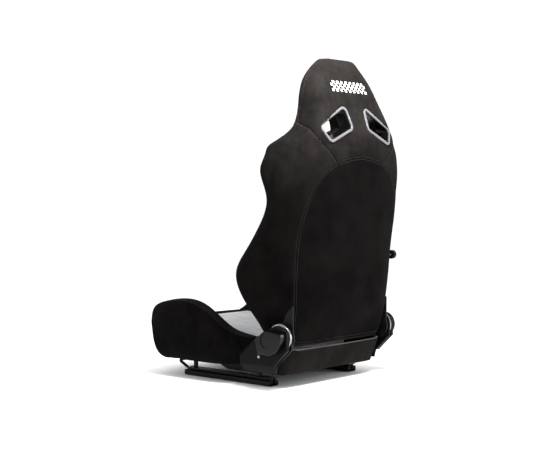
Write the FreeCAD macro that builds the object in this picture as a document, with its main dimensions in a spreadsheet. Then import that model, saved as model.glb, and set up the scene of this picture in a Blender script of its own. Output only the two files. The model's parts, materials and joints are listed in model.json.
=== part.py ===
import FreeCAD, Part
import math
import os
import re

import Sketcher

# A reclining bucket seat on two floor rails, in millimetres.
# +Z is up, the occupant faces -Y and the occupant's left hand is at +X.
# The origin is the centre of the four floor bolt holes, on the floor.

V = FreeCAD.Vector
X_AXIS = V(1, 0, 0)
Z_AXIS = V(0, 0, 1)

DIMENSIONS = {
    # floor rails
    "rail_half_gauge": 190, "rail_length": 358, "rail_centre": 19, "rail_width": 40, "rail_height": 17,
    "rail_sheet": 2, "rail_bevel": 4, "lip_opening": 18, "floor_bolt_span": 290, "floor_hole": 8.5,
    "notch_length": 5, "notch_pitch": 12, "notch_count": 15, "notch_start": -140,
    # sliding rails
    "slide_top": 25, "slide_sheet": 2.4, "slide_top_width": 34, "slide_neck_width": 14.4,
    "slide_channel": 10, "slide_foot_width": 30, "slide_foot_under": 8.1, "slide_foot_tip": 14.4,
    "roller_diameter": 6, "roller_length": 8, "roller_gap": 0.05, "strip_width": 11,
    "strip_thickness": 2, "strip_length": 186, "strip_centre": 62, "strip_offset": 11.4,
    "roller_pitch": 55,
    # adjuster bar and latch
    "bar_diameter": 9, "bar_height": 16.5, "bar_pivot_back": -150, "bar_tail": -76,
    "bar_bend_back": -154, "bar_front": -206, "bar_front_height": 41, "bar_bend_radius": 14,
    "pin_diameter": 4, "pin_clearance": 0.05, "latch_half_width": 14, "latch_length": 16,
    "latch_sheet": 1.8, "tooth_length": 3, "tooth_pitch": 12, "tooth_width": 3, "tooth_height": 2.6,
    # base frame
    "stud_front": -129, "stud_rear": 143, "stud_diameter": 14, "bolt_diameter": 8,
    "bolt_head": 14, "bolt_head_height": 3.4, "flange_top": 57, "flange_sheet": 3,
    "web_inside": 165, "flange_outside": 205, "base_front": -180, "base_rear": 240,
    "web_low": 36, "web_deep": 28, "web_front_low": 49, "tube_height": 46, "tube_diameter": 16,
    "tube_middle": 127, "tube_rear": 225, "strap_depth": 30, "pan_half_width": 176,
    "pan_sheet": 2, "pan_front": -185, "pan_rear": 236, "pan_slot_width": 24, "pan_slot_pitch": 66,
    # recliners
    "pivot_back": 270, "pivot_height": 154, "rod_diameter": 10, "arm_inside": 226,
    "arm_sheet": 4, "arm_radius": 40, "arm_top": 246, "cam_radius": 30, "cam_gap": 0.3,
    "bracket_inside": 238, "bracket_sheet": 4, "bracket_radius": 42, "ring_width": 6, "ring_round": 1.8,
    "ring_bore": 60, "spring_turns": 3, "spring_start": 8, "spring_pitch": 6.4,
    "spring_strip": 2.4, "spring_width": 5, "shield_inside": 250.3, "shield_plate": 11.7,
    "shield_boss": 22, "shield_wall": 4, "moulding_round": 3, "boss_radius": 57, "boss_centre_back": 246,
    "boss_centre_height": 160, "cap_recess_diameter": 44, "screw_diameter": 9, "screw_head": 2.5,
    "screw_back": 204, "screw_height": 96, "lever_inside": 262.5,
    "lever_thickness": 12, "lever_hub_radius": 38, "lever_grip_thickness": 11, "lever_tip": 112,
    # seat cushion
    "cushion_under": 61, "cushion_rear": 196, "insert_half_width": 151.5, "bolster_inside": 152,
    "bolster_ridge": 232, "roll_front": -288, "cushion_round": 14, "insert_front": -225,
    "skirt_half_width": 224,
    "skirt_corner": 36, "skirt_thickness": 10, "skirt_low": 40, "skirt_high": 117,
    "skirt_low_back": 263, "skirt_high_back": 294, "skirt_return": 48,
    # backrest
    "wing_inside": 165, "pad_half_width": 164.6, "pad_depth": 38, "panel_depth": 10,
    "yoke_low": 700, "layer_gap": 0.4, "hoop_half_width": 150, "hoop_diameter": 20,
    "hoop_low": 215, "hoop_low_back": 288, "hoop_high": 655, "mast_half_width": 22, "mast_diameter": 14,
    "mast_top": 930, "wire_diameter": 4, "brace_height": 430, "brace_back": 304, "brace_diameter": 16,
    # harness openings
    "bezel_tube": 12, "sleeve_wall": 2.5, "hole_centre_out": 95, "hole_centre_height": 772,
    "rear_rim_back": 361, "front_rim_back": 287, "hole_corner": 14, "sleeve_rear_depth": 40,
    "sleeve_front_depth": 24,
    # lumbar adjuster
    "lumbar_back": 315, "lumbar_height": 379, "lumbar_shaft": 8, "lumbar_knob": 28,
    "knob_thickness": 13, "knob_inside": 237, "cam_low": 9, "cam_rest": 12, "cam_high": 15,
    "cam_width": 30, "paddle_half_width": 70, "paddle_height": 60, "paddle_sheet": 3,
    "paddle_gap": 0.5, "eye_diameter": 22, "eye_width": 12, "eye_out": 50,
    "lumbar_plate": 4, "lumbar_plate_out": 18,
}

# Backrest levels: height, back of the spine, middle of the rear corner (out, back),
# tip of the side wing (out, back) and the front of the centre pad.
BACK_LEVELS = [
    (127, 289, (209, 280), (221, 238), 230),
    (134, 293, (212, 284), (224, 229), 229),
    (150, 300, (216, 289), (229, 202), 230),
    (180, 311, (220, 296), (237, 178), 232),
    (230, 323, (224, 306), (254, 150), 234),
    (280, 331, (228, 311), (269, 125), 237),
    (340, 338, (232, 315), (275, 113), 243),
    (411, 346, (234, 320), (267, 146), 251),
    (474, 353, (233, 330), (258, 181), 259),
    (552, 363, (228, 343), (256, 212), 270),
    (610, 371, (220, 354), (265, 205), 279),
    (650, 377, (210, 362), (267, 200), 285),
    (700, 381, (193, 368), (254, 213), 291),
    (730, 380, (184, 365), (221, 231), 292),
    (764, 374, (173, 360), (177, 246), 288),
    (792, 364, (162, 354), (159, 250), 282),
    (830, 349, (149, 343), (147, 249), 271),
    (870, 333, (139, 328), (141, 249), 263),
    (910, 318, (123, 314), (132, 254), 261),
    (940, 308, (101, 304), (114, 262), 265),
    (960, 301, (82, 298), (97, 271), 271),
    (976, 295, (52, 294), (62, 281), 279),
]

# Corners of the left harness opening, out and up, on its rear and front planes.
REAR_HOLE = [(46, 832), (38, 763), (140, 721), (171, 768)]
FRONT_HOLE = [(39, 834), (30, 762), (140, 720), (170, 768)]

# Seat bolster stations: back, underside, ridge height, outside and height beside the insert.
BOLSTER_STATIONS = [
    (-267, 172, 206, 250, 174),
    (-260, 136, 213, 257, 172),
    (-247, 101, 221, 262, 171),
    (-230, 72, 228, 265, 171),
    (-206, 61, 234, 267, 170),
    (-160, 61, 242, 267, 168),
    (-120, 61, 245, 267, 163),
    (-80, 61, 242, 267, 158),
    (-40, 61, 229, 267, 153),
    (0, 61, 206, 266, 149),
    (40, 61, 181, 264, 144),
    (78, 61, 159, 254, 140),
    (100, 61, 151, 239, 137),
    (118, 61, 147.5, 232.5, 134.5),
    (150, 61, 147, 231.5, 132),
    (196, 61, 146, 232, 129),
]


document = FreeCAD.newDocument("racing_seat")
sheet = document.addObject("Spreadsheet::Sheet", "dims")
sub_parts = {}


def fill_sheet():
    """Write every driving dimension as a plain number with its own alias."""
    for row, (alias, value) in enumerate(DIMENSIONS.items(), start=1):
        sheet.set(f"A{row}", alias)
        sheet.set(f"B{row}", str(value))
        sheet.setAlias(f"B{row}", alias)
    document.recompute()


def size(expression):
    """The number that an expression in the sheet's aliases gives."""
    return float(sheet.evalExpression(expression))


def bound(expression):
    """The same expression as another object has to write it, with the sheet's name."""
    return re.sub("[a-z][a-z_]+", lambda word: f"dims.{word.group()}", expression)


def bind(obj, path, expression):
    obj.setExpression(path, bound(str(expression)))


def put_at(obj, x="0", y="0", z="0"):
    """Bind an object's place to the sheet."""
    for letter, expression in zip("xyz", (x, y, z)):
        bind(obj, f".Placement.Base.{letter}", expression)
    return obj


def keep(node, obj):
    """Name a finished object as a sub-part."""
    obj.Label = node
    sub_parts[node] = obj
    return obj


# ---- sketches and PartDesign features --------------------------------------------------

def new_body(name):
    return document.addObject("PartDesign::Body", name)


def new_sketch(body, role, lift="0"):
    """A sketch on one of the body's own origin planes, lifted along the plane's normal."""
    sketch = body.newObject("Sketcher::SketchObject", "Sketch")
    plane = next(f for f in body.Origin.OriginFeatures if f.Role == role)
    sketch.AttachmentSupport = [(plane, "")]
    sketch.MapMode = "FlatFace"
    if lift != "0":
        bind(sketch, ".AttachmentOffset.Base.z", lift)
    return sketch


def fix_point(sketch, geometry, point, across, up):
    """Tie one point of a sketch to the sheet."""
    for kind, expression in (("DistanceX", across), ("DistanceY", up)):
        datum = Sketcher.Constraint(kind, -1, 1, geometry, point, size(expression))
        bind(sketch, f"Constraints[{sketch.addConstraint(datum)}]", expression)


def draw_outline(sketch, corners):
    """A closed outline of straight lines through corners given as expressions."""
    corners = [(str(across), str(up)) for across, up in corners]
    points = [V(size(across), size(up), 0) for across, up in corners]
    count = len(points)
    first = sketch.GeometryCount
    for i in range(count):
        sketch.addGeometry(Part.LineSegment(points[i], points[(i + 1) % count]), False)
    for i in range(count):
        joint = Sketcher.Constraint("Coincident", first + i, 2, first + (i + 1) % count, 1)
        sketch.addConstraint(joint)
    for i, (across, up) in enumerate(corners):
        fix_point(sketch, first + i, 1, across, up)


def draw_circle(sketch, across, up, diameter):
    centre = V(size(str(across)), size(str(up)), 0)
    circle = sketch.addGeometry(Part.Circle(centre, Z_AXIS, size(str(diameter)) / 2), False)
    fix_point(sketch, circle, 3, str(across), str(up))
    datum = Sketcher.Constraint("Diameter", circle, size(str(diameter)))
    bind(sketch, f"Constraints[{sketch.addConstraint(datum)}]", diameter)


def add_pad(body, sketch, length, both_ways=False):
    pad = body.newObject("PartDesign::Pad", "Pad")
    pad.Profile = sketch
    bind(pad, "Length", length)
    if both_ways:
        pad.SideType = "Symmetric"
    return pad


def add_pocket(body, sketch, length="", both_ways=False, reverse=False):
    """A pocket of a given length, or through everything when no length is given."""
    pocket = body.newObject("PartDesign::Pocket", "Pocket")
    pocket.Profile = sketch
    pocket.Reversed = reverse
    if length:
        bind(pocket, "Length", length)
    else:
        pocket.Type = "ThroughAll"
    if both_ways:
        pocket.SideType = "Symmetric"
    return pocket


def add_row(body, feature, role, length, count):
    """Repeat a feature along an origin axis of its body."""
    row = body.newObject("PartDesign::LinearPattern", "Row")
    row.Originals = [feature]
    axis = next(f for f in body.Origin.OriginFeatures if f.Role == role)
    row.Direction = (axis, [""])
    bind(row, "Length", length)
    bind(row, "Occurrences", count)
    body.Tip = row
    return row


def add_fillet(body, base, chosen, radius):
    """Round the edges of a feature that a test picks."""
    document.recompute()
    names = [f"Edge{i}" for i, edge in enumerate(base.Shape.Edges, start=1) if chosen(edge)]
    fillet = body.newObject("PartDesign::Fillet", "Fillet")
    fillet.Base = (base, names)
    bind(fillet, "Radius", radius)
    return fillet


# ---- Part primitives and booleans ------------------------------------------------------

def box(low, high):
    """A box between two corners given as expressions."""
    obj = document.addObject("Part::Box", "Box")
    for prop, start, end in zip(("Length", "Width", "Height"), low, high):
        bind(obj, prop, f"({end}) - ({start})")
    return put_at(obj, *low)


def cylinder(diameter, length, start, direction=Z_AXIS):
    """A cylinder from its start point along a row axis."""
    obj = document.addObject("Part::Cylinder", "Cylinder")
    bind(obj, "Radius", f"({diameter}) / 2")
    bind(obj, "Height", length)
    obj.Placement = FreeCAD.Placement(V(), FreeCAD.Rotation(Z_AXIS, direction))
    return put_at(obj, *start)


def cut(base, tool):
    obj = document.addObject("Part::Cut", "Cut")
    obj.Base = base
    obj.Tool = tool
    return obj


def fuse(*shapes):
    obj = document.addObject("Part::MultiFuse", "Fusion")
    obj.Shapes = list(shapes)
    return obj


def group(*links):
    """Identical separate solids that share one node."""
    obj = document.addObject("Part::Compound", "Group")
    obj.Links = list(links)
    return obj


def mirror(source):
    """The same piece on the other side of the seat."""
    obj = document.addObject("Part::Mirroring", "Mirror")
    obj.Source = source
    obj.Normal = X_AXIS
    return obj


def feature(name, shape, place=V()):
    obj = document.addObject("Part::Feature", name)
    obj.Shape = shape
    obj.Placement = FreeCAD.Placement(place, FreeCAD.Rotation())
    return obj


def rounded_path(points, radius, closed=False):
    """Straight runs joined by tangent arcs, through corner points."""
    count = len(points)
    corners = range(count) if closed else range(1, count - 1)
    arcs = {}
    for i in corners:
        here = points[i]
        before = (points[i - 1] - here).normalize()
        after = (points[(i + 1) % count] - here).normalize()
        half = before.getAngle(after) / 2
        reach = radius / math.tan(half)
        middle = (before + after).normalize() * (radius / math.sin(half) - radius)
        arcs[i] = (here + before * reach, here + middle, here + after * reach)
    edges = []
    place = arcs[count - 1][2] if closed else points[0]
    for i in corners:
        edges.append(Part.LineSegment(place, arcs[i][0]).toShape())
        edges.append(Part.Arc(*arcs[i]).toShape())
        place = arcs[i][2]
    if not closed:
        edges.append(Part.LineSegment(place, points[-1]).toShape())
    return Part.Wire(edges)


def round_bar(path, diameter):
    """A round bar swept along a path."""
    start = path.Edges[0]
    place = start.valueAt(start.FirstParameter)
    direction = start.tangentAt(start.FirstParameter)
    ring = Part.Wire(Part.Circle(place, direction, diameter / 2).toShape())
    return path.makePipeShell([ring], True, True)


def skin_loop(points, closing):
    """A section: one smooth curve through its points, then straight lines back."""
    curve = Part.BSplineCurve()
    curve.interpolate(points)
    edges = [curve.toShape()]
    corners = [points[-1]] + closing + [points[0]]
    for i in range(len(corners) - 1):
        edges.append(Part.LineSegment(corners[i], corners[i + 1]).toShape())
    return Part.Wire(edges)


def ring_loop(points):
    """A section that is one smooth closed curve."""
    curve = Part.BSplineCurve()
    curve.interpolate(points, PeriodicFlag=True)
    return Part.Wire(curve.toShape())


# ---- floor rails, rollers and sliding rails ------------------------------------------

def floor_rail():
    """A C channel with in-turned lips, latch notches and two floor holes."""
    body = new_body("FloorRail")
    profile = new_sketch(body, "XZ_Plane")
    half = "rail_width / 2"
    inner = "rail_width / 2 - rail_sheet"
    low = "rail_sheet"
    high = "rail_height - rail_sheet"
    right = [
        (f"{half} - rail_bevel", "0"), (half, "rail_bevel"), (half, "rail_height - 2"),
        (f"{half} - 2", "rail_height"), ("lip_opening / 2", "rail_height"),
        ("lip_opening / 2", high), (inner, high), (inner, f"{low} + 2"), (f"{inner} - 2", low),
    ]
    left = [(f"-({across})", up) for across, up in reversed(right)]
    draw_outline(profile, right + left)
    add_pad(body, profile, "rail_length", both_ways=True)
    holes = new_sketch(body, "XY_Plane")
    for side in ("", "-"):
        draw_circle(holes, "0", f"{side}floor_bolt_span / 2 - rail_centre", "floor_hole")
    add_pocket(body, holes, both_ways=True)
    notch = new_sketch(body, "XY_Plane", "rail_height + 1")
    outer = "lip_opening / 2 + 5.5"
    start = "notch_start - rail_centre"
    draw_outline(notch, [
        (f"-({outer})", start), (outer, start),
        (outer, f"{start} + notch_length"), (f"-({outer})", f"{start} + notch_length"),
    ])
    pocket = add_pocket(body, notch, "rail_sheet + 2")
    add_row(body, pocket, "Y_Axis", "notch_pitch * (notch_count - 1)", "notch_count")
    return put_at(body, x="rail_half_gauge", y="rail_centre")


def sliding_rail():
    """A hat section whose turned-up feet run under the floor rail's lips."""
    body = new_body("SlidingRail")
    profile = new_sketch(body, "XZ_Plane")
    roof = "slide_top - slide_sheet"
    neck = "slide_neck_width / 2"
    foot = "slide_foot_width / 2"
    tread = "slide_foot_under + slide_sheet"
    right = [
        ("slide_top_width / 2", "slide_top"), ("slide_top_width / 2", roof), (neck, roof),
        (neck, tread), (f"{foot} - slide_sheet", tread), (f"{foot} - slide_sheet", "slide_foot_tip"),
        (foot, "slide_foot_tip"), (foot, "slide_foot_under"),
        ("slide_channel / 2", "slide_foot_under"), ("slide_channel / 2", roof),
    ]
    left = [(f"-({across})", up) for across, up in reversed(right)]
    draw_outline(profile, right + left)
    add_pad(body, profile, "rail_length", both_ways=True)
    slot = new_sketch(body, "XY_Plane", "slide_top + 1")
    wide = "slide_channel / 2"
    draw_outline(slot, [
        (f"-{wide}", "-rail_length / 2 - 2"), (wide, "-rail_length / 2 - 2"),
        (wide, "bar_pivot_back + 8 - rail_centre"), (f"-{wide}", "bar_pivot_back + 8 - rail_centre"),
    ])
    add_pocket(body, slot, "slide_sheet + 2")
    window = new_sketch(body, "YZ_Plane")
    front = "bar_tail - latch_length - 4 - rail_centre"
    rear = "bar_tail + 5 - rail_centre"
    draw_outline(window, [
        (front, "slide_foot_under - 1"), (rear, "slide_foot_under - 1"),
        (rear, "bar_height"), (front, "bar_height"),
    ])
    add_pocket(body, window, both_ways=True)
    pin = new_sketch(body, "YZ_Plane")
    draw_circle(pin, "bar_pivot_back - rail_centre", "bar_height", "pin_diameter")
    add_pocket(body, pin, both_ways=True)
    return put_at(body, x="rail_half_gauge", y="rail_centre")


def roller_strip(side):
    """A strip with windows that carries four rollers along one foot of the sliding rail."""
    body = new_body("RollerStrip")
    plan = new_sketch(body, "XY_Plane")
    half_length = "strip_length / 2"
    draw_outline(plan, [
        ("-strip_width / 2", f"-{half_length}"), ("strip_width / 2", f"-{half_length}"),
        ("strip_width / 2", half_length), ("-strip_width / 2", half_length),
    ])
    add_pad(body, plan, "strip_thickness", both_ways=True)
    window = new_sketch(body, "XY_Plane")
    start = "-roller_pitch * 1.5"
    reach = "(roller_diameter / 2 + 0.2)"
    width = "roller_length / 2 + 0.2"
    draw_outline(window, [
        (f"-({width})", f"{start} - {reach}"), (width, f"{start} - {reach}"),
        (width, f"{start} + {reach}"), (f"-({width})", f"{start} + {reach}"),
    ])
    pocket = add_pocket(body, window, both_ways=True)
    add_row(body, pocket, "Y_Axis", "roller_pitch * 3", "4")
    x = f"rail_half_gauge + {side} * strip_offset"
    return put_at(body, x=x, y="strip_centre", z="rail_sheet + roller_diameter / 2 + roller_gap")


def rail_rollers():
    """Eight rollers between the floor rail and the feet of the sliding rail."""
    rollers = []
    for side in (-1, 1):
        for step in (-1.5, -0.5, 0.5, 1.5):
            start = (
                f"rail_half_gauge + {side} * strip_offset - roller_length / 2",
                f"strip_centre + {step} * roller_pitch",
                "rail_sheet + roller_diameter / 2 + roller_gap",
            )
            rollers.append(cylinder("roller_diameter", "roller_length", start, X_AXIS))
    return group(*rollers)


def build_rails():
    for name, piece in (("rail_lower", floor_rail()), ("rail_upper", sliding_rail())):
        keep(f"{name}_left", piece)
        keep(f"{name}_right", mirror(piece))
    strips = keep("roller_strips_left", group(roller_strip(-1), roller_strip(1)))
    keep("roller_strips_right", mirror(strips))
    rollers = keep("rail_rollers_left", rail_rollers())
    keep("rail_rollers_right", mirror(rollers))


# ---- adjuster bar ------------------------------------------------------------------------

def build_adjuster():
    """The bar under the front edge that drops both latches out of their notches."""
    gauge = size("rail_half_gauge")
    level = size("bar_height")
    side = [
        V(gauge, size("bar_tail"), level),
        V(gauge, size("bar_bend_back"), level),
        V(gauge, size("bar_front"), size("bar_front_height")),
    ]
    route = side + [V(-p.x, p.y, p.z) for p in reversed(side)]
    path = rounded_path(route, size("bar_bend_radius"))
    bar = feature("Bar", round_bar(path, size("bar_diameter")))
    drill = cylinder(
        "pin_diameter + 2 * pin_clearance", "2 * rail_half_gauge + 40",
        ("-rail_half_gauge - 20", "bar_pivot_back", "bar_height"), X_AXIS,
    )
    keep("adjuster_bar", cut(bar, drill))
    pin_start = ("rail_half_gauge - slide_neck_width / 2", "bar_pivot_back", "bar_height")
    pin = cylinder("pin_diameter", "slide_neck_width", pin_start, X_AXIS)
    keep("adjuster_pivot_pins", group(pin, mirror(pin)))
    latch = latch_plate()
    keep("latch_plates", group(latch, mirror(latch)))


def latch_plate():
    """A toothed plate under the tail of the bar."""
    top = "bar_height - bar_diameter / 2"
    centre = "rail_half_gauge"
    plate = box(
        (f"{centre} - latch_half_width", "bar_tail - latch_length", f"{top} - latch_sheet"),
        (f"{centre} + latch_half_width", "bar_tail", top),
    )
    pieces = [plate]
    for side in ("-", "+"):
        inner = f"{centre} {side} (latch_half_width - tooth_width / 2) - tooth_width / 2"
        for step in range(2):
            front = f"bar_tail - latch_length + {step} * tooth_pitch + 1"
            pieces.append(box(
                (inner, front, f"{top} - latch_sheet"),
                (f"{inner} + tooth_width", f"{front} + tooth_length", f"{top} + tooth_height"),
            ))
    return fuse(*pieces)


# ---- base frame ----------------------------------------------------------------------------

def base_side():
    """A web that deepens in the middle, with a flange for the rail studs and the recliner."""
    body = new_body("BaseSide")
    web = new_sketch(body, "YZ_Plane")
    draw_outline(web, [
        ("base_front", "flange_top"), ("base_rear", "flange_top"), ("base_rear", "web_low"),
        ("tube_middle - 8", "web_low"), ("tube_middle - 14", "web_deep"), (-15, "web_deep"),
        (-58, "web_front_low - 3"), ("base_front", "web_front_low"),
    ])
    add_pad(body, web, "flange_sheet")
    bores = new_sketch(body, "YZ_Plane")
    for back in ("tube_middle", "tube_rear"):
        draw_circle(bores, back, "tube_height", "tube_diameter")
    add_pocket(body, bores, both_ways=True)
    flange = new_sketch(body, "XY_Plane", "flange_top - flange_sheet")
    reach = "flange_outside - web_inside"
    weld = "bracket_inside - web_inside"
    draw_outline(flange, [
        ("0", "base_front"), (reach, "base_front"), (reach, 112), (weld, 122), (weld, 205),
        ("0", "base_rear"),
    ])
    add_pad(body, flange, "flange_sheet")
    holes = new_sketch(body, "XY_Plane")
    for back in ("stud_front", "stud_rear"):
        draw_circle(holes, "rail_half_gauge - web_inside", back, "bolt_diameter")
    add_pocket(body, holes, both_ways=True)
    return put_at(body, x="web_inside")


def studs():
    """Spacer tubes and the bolts through them, at the four corners of the base."""
    tubes = []
    bolts = []
    for back in ("stud_front", "stud_rear"):
        foot = ("rail_half_gauge", back, "slide_top")
        rise = "flange_top - flange_sheet - slide_top"
        tube = cut(cylinder("stud_diameter", rise, foot), cylinder("bolt_diameter", rise, foot))
        shank = cylinder("bolt_diameter", "flange_top - slide_top", foot)
        head_foot = ("rail_half_gauge", back, "flange_top")
        bolt = fuse(shank, cylinder("bolt_head", "bolt_head_height", head_foot))
        tubes += [tube, mirror(tube)]
        bolts += [bolt, mirror(bolt)]
    keep("spacer_tubes", group(*tubes))
    keep("spacer_bolts", group(*bolts))


def seat_pan():
    """A sheet with a row of ventilation slots under the cushion."""
    body = new_body("SeatPan")
    plan = new_sketch(body, "XY_Plane", "flange_top")
    draw_outline(plan, [
        ("-pan_half_width", "pan_front"), ("pan_half_width", "pan_front"),
        ("pan_half_width", "pan_rear"), ("-pan_half_width", "pan_rear"),
    ])
    add_pad(body, plan, "pan_sheet")
    slot = new_sketch(body, "XY_Plane", "flange_top")
    reach = "pan_half_width - 60"
    start = "pan_front + 34"
    draw_outline(slot, [
        (f"-({reach})", start), (reach, start),
        (reach, f"{start} + pan_slot_width"), (f"-({reach})", f"{start} + pan_slot_width"),
    ])
    pocket = add_pocket(body, slot, "pan_sheet + 2", reverse=True)
    add_row(body, pocket, "Y_Axis", "pan_slot_pitch * 5", "6")
    return body


def build_base():
    side = keep("base_side_left", base_side())
    keep("base_side_right", mirror(side))
    studs()
    for name, back in (("cross_tube_middle", "tube_middle"), ("cross_tube_rear", "tube_rear")):
        start = ("-web_inside - flange_sheet", back, "tube_height")
        keep(name, cylinder("tube_diameter", "2 * (web_inside + flange_sheet)", start, X_AXIS))
    under = "flange_top - 2 * flange_sheet"
    keep("front_cross_strap", box(
        ("-web_inside", "base_front", under),
        ("web_inside", "base_front + strap_depth", "flange_top"),
    ))
    keep("seat_pan", seat_pan())


# ---- recliners -----------------------------------------------------------------------------

def recliner_bracket():
    """The fixed side plate, from the base flange up to a round pivot boss."""
    body = new_body("Bracket")
    plate = new_sketch(body, "YZ_Plane")
    draw_outline(plate, [
        (122, 47), (250, 47), (257, 70), (311, 121), ("pivot_back + bracket_radius - 1", 150),
        ("pivot_back", "pivot_height + 20"), (232, 168), (197, 149), (181, 142), (125, 93),
    ])
    add_pad(body, plate, "bracket_sheet")
    boss = new_sketch(body, "YZ_Plane")
    draw_circle(boss, "pivot_back", "pivot_height", "2 * bracket_radius")
    add_pad(body, boss, "bracket_sheet")
    bore = new_sketch(body, "YZ_Plane")
    draw_circle(bore, "pivot_back", "pivot_height", "rod_diameter + 2 * pin_clearance")
    add_pocket(body, bore, both_ways=True)
    return put_at(body, x="bracket_inside")


def recliner_ring():
    """The bright steel ring pressed round the pivot boss."""
    body = new_body("Ring")
    plan = new_sketch(body, "YZ_Plane")
    draw_circle(plan, "pivot_back", "pivot_height", "2 * bracket_radius")
    draw_circle(plan, "pivot_back", "pivot_height", "ring_bore")
    band = add_pad(body, plan, "ring_width")
    outer_face = size("ring_width") - 0.1
    add_fillet(body, band, lambda edge: edge.BoundBox.XMin > outer_face, "ring_round")
    return put_at(body, x="bracket_inside + bracket_sheet")


def recliner_arm():
    """The moving arm: a round hub with a strap up into the backrest."""
    body = new_body("Arm")
    hub = new_sketch(body, "YZ_Plane")
    draw_circle(hub, "pivot_back", "pivot_height", "2 * arm_radius")
    add_pad(body, hub, "arm_sheet")
    strap = new_sketch(body, "YZ_Plane")
    draw_outline(strap, [
        ("pivot_back - arm_radius + 4", "pivot_height"), ("pivot_back + arm_radius - 4", "pivot_height"),
        ("pivot_back + 36", "arm_top"), ("pivot_back", "arm_top"),
    ])
    add_pad(body, strap, "arm_sheet")
    bore = new_sketch(body, "YZ_Plane")
    draw_circle(bore, "pivot_back", "pivot_height", "rod_diameter + 2 * pin_clearance")
    add_pocket(body, bore, both_ways=True)
    return put_at(body, x="arm_inside")


def recliner_cam():
    """The locking cam on the rod, between the arm and the bracket."""
    start = "arm_inside + arm_sheet + cam_gap"
    length = "bracket_inside - arm_inside - arm_sheet - 2 * cam_gap"
    disc = cylinder("2 * cam_radius", length, (start, "pivot_back", "pivot_height"), X_AXIS)
    bore = cylinder("rod_diameter", length, (start, "pivot_back", "pivot_height"), X_AXIS)
    return cut(disc, bore)


def recliner_spring():
    """A flat clock spring of half turns about two alternating centres."""
    strip = size("spring_strip")
    step = size("spring_pitch") / 2
    radius = size("spring_start")
    centre_shift = 0.0
    side = 1
    inner_edges = []
    outer_edges = []
    for _ in range(int(2 * size("spring_turns"))):
        for edges, reach in ((inner_edges, radius), (outer_edges, radius + strip)):
            start = V(0, centre_shift + side * reach, 0)
            middle = V(0, centre_shift, -side * reach)
            end = V(0, centre_shift - side * reach, 0)
            edges.append(Part.Arc(start, middle, end).toShape())
        centre_shift += side * step
        radius += step
        side = -side
    ends = []
    for vertex in (0, 1):
        edge_index = 0 if vertex == 0 else -1
        ends.append(Part.LineSegment(
            inner_edges[edge_index].Vertexes[vertex].Point,
            outer_edges[edge_index].Vertexes[vertex].Point,
        ).toShape())
    outline = Part.Wire(Part.__sortEdges__(inner_edges + outer_edges + ends))
    coil = Part.Face(outline).extrude(V(size("spring_width"), 0, 0))
    inside = size("bracket_inside + bracket_sheet + 0.5")
    return feature("Spring", coil, V(inside, size("pivot_back"), size("pivot_height")))


SHIELD_OUTLINE = [
    (128, 68), (256, 70), (310, 121), (308, 176), (262, 190), (236, 176), (197, 150),
    (181, 143), (125, 94),
]


def shield_plate():
    """The side cover's plate, hollowed from the inside round the ring."""
    body = new_body("Shield")
    plan = new_sketch(body, "YZ_Plane")
    draw_outline(plan, SHIELD_OUTLINE)
    plate = add_pad(body, plan, "shield_plate")
    outer_face = size("shield_plate") - 0.1
    add_fillet(body, plate, lambda edge: edge.BoundBox.XMin > outer_face, "moulding_round")
    hollow = new_sketch(body, "YZ_Plane")
    centre = (226, 122)
    draw_outline(hollow, [
        (f"{centre[0]} + ({back} - {centre[0]}) * 0.9", f"{centre[1]} + ({up} - {centre[1]}) * 0.88")
        for back, up in SHIELD_OUTLINE
    ])
    add_pocket(body, hollow, "shield_plate - shield_wall", reverse=True)
    return put_at(body, x="shield_inside")


def pivot_cap():
    """The raised cap over the pivot: a round back edge, a flat top and a dished face."""
    centre = V(0, size("boss_centre_back"), size("boss_centre_height"))
    radius = size("boss_radius")

    def on_arc(degrees):
        angle = math.radians(degrees)
        return centre + V(0, radius * math.cos(angle), radius * math.sin(angle))

    top_rear = on_arc(9)
    low_rear = on_arc(-72)
    top_front = V(0, 240, 177)
    low_front = V(0, 216, 108)
    outline = Part.Wire([
        Part.Arc(top_rear, on_arc(-30), low_rear).toShape(),
        Part.LineSegment(low_rear, low_front).toShape(),
        Part.LineSegment(low_front, V(0, 206, 150)).toShape(),
        Part.LineSegment(V(0, 206, 150), top_front).toShape(),
        Part.LineSegment(top_front, top_rear).toShape(),
    ])
    face_out = size("shield_inside + shield_plate")
    block = Part.Face(outline).extrude(V(size("shield_boss"), 0, 0))
    edges = [e for e in block.Edges if e.BoundBox.XMin > size("shield_boss") - 0.1]
    block = block.makeFillet(3.5, edges)
    recess_place = V(size("shield_boss") - 2, centre.y + 4, centre.z - 12)
    block = block.cut(Part.makeCylinder(size("cap_recess_diameter") / 2, 4, recess_place, X_AXIS))
    return feature("PivotCap", block, V(face_out, 0, 0))


def recline_lever():
    """The release lever: a round hub with a grip that points forward."""
    body = new_body("Lever")
    hub = new_sketch(body, "YZ_Plane")
    draw_circle(hub, "pivot_back", "pivot_height", "2 * lever_hub_radius")
    add_pad(body, hub, "lever_thickness")
    grip = new_sketch(body, "YZ_Plane")
    draw_outline(grip, [
        ("pivot_back - 10", "pivot_height - 30"), ("pivot_back - 60", "pivot_height - 12"),
        ("lever_tip + 8", "pivot_height - 8"), ("lever_tip", "pivot_height"),
        ("lever_tip", "pivot_height + 10"), ("lever_tip + 8", "pivot_height + 18"),
        ("pivot_back - 60", "pivot_height + 20"), ("pivot_back - 10", "pivot_height + 35"),
    ])
    handle = add_pad(body, grip, "lever_grip_thickness")
    add_fillet(body, handle, lambda edge: edge.BoundBox.XMax < 0.1, "moulding_round")
    bore = new_sketch(body, "YZ_Plane")
    draw_circle(bore, "pivot_back", "pivot_height", "rod_diameter")
    add_pocket(body, bore, both_ways=True)
    return put_at(body, x="-lever_inside - lever_thickness")


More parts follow.
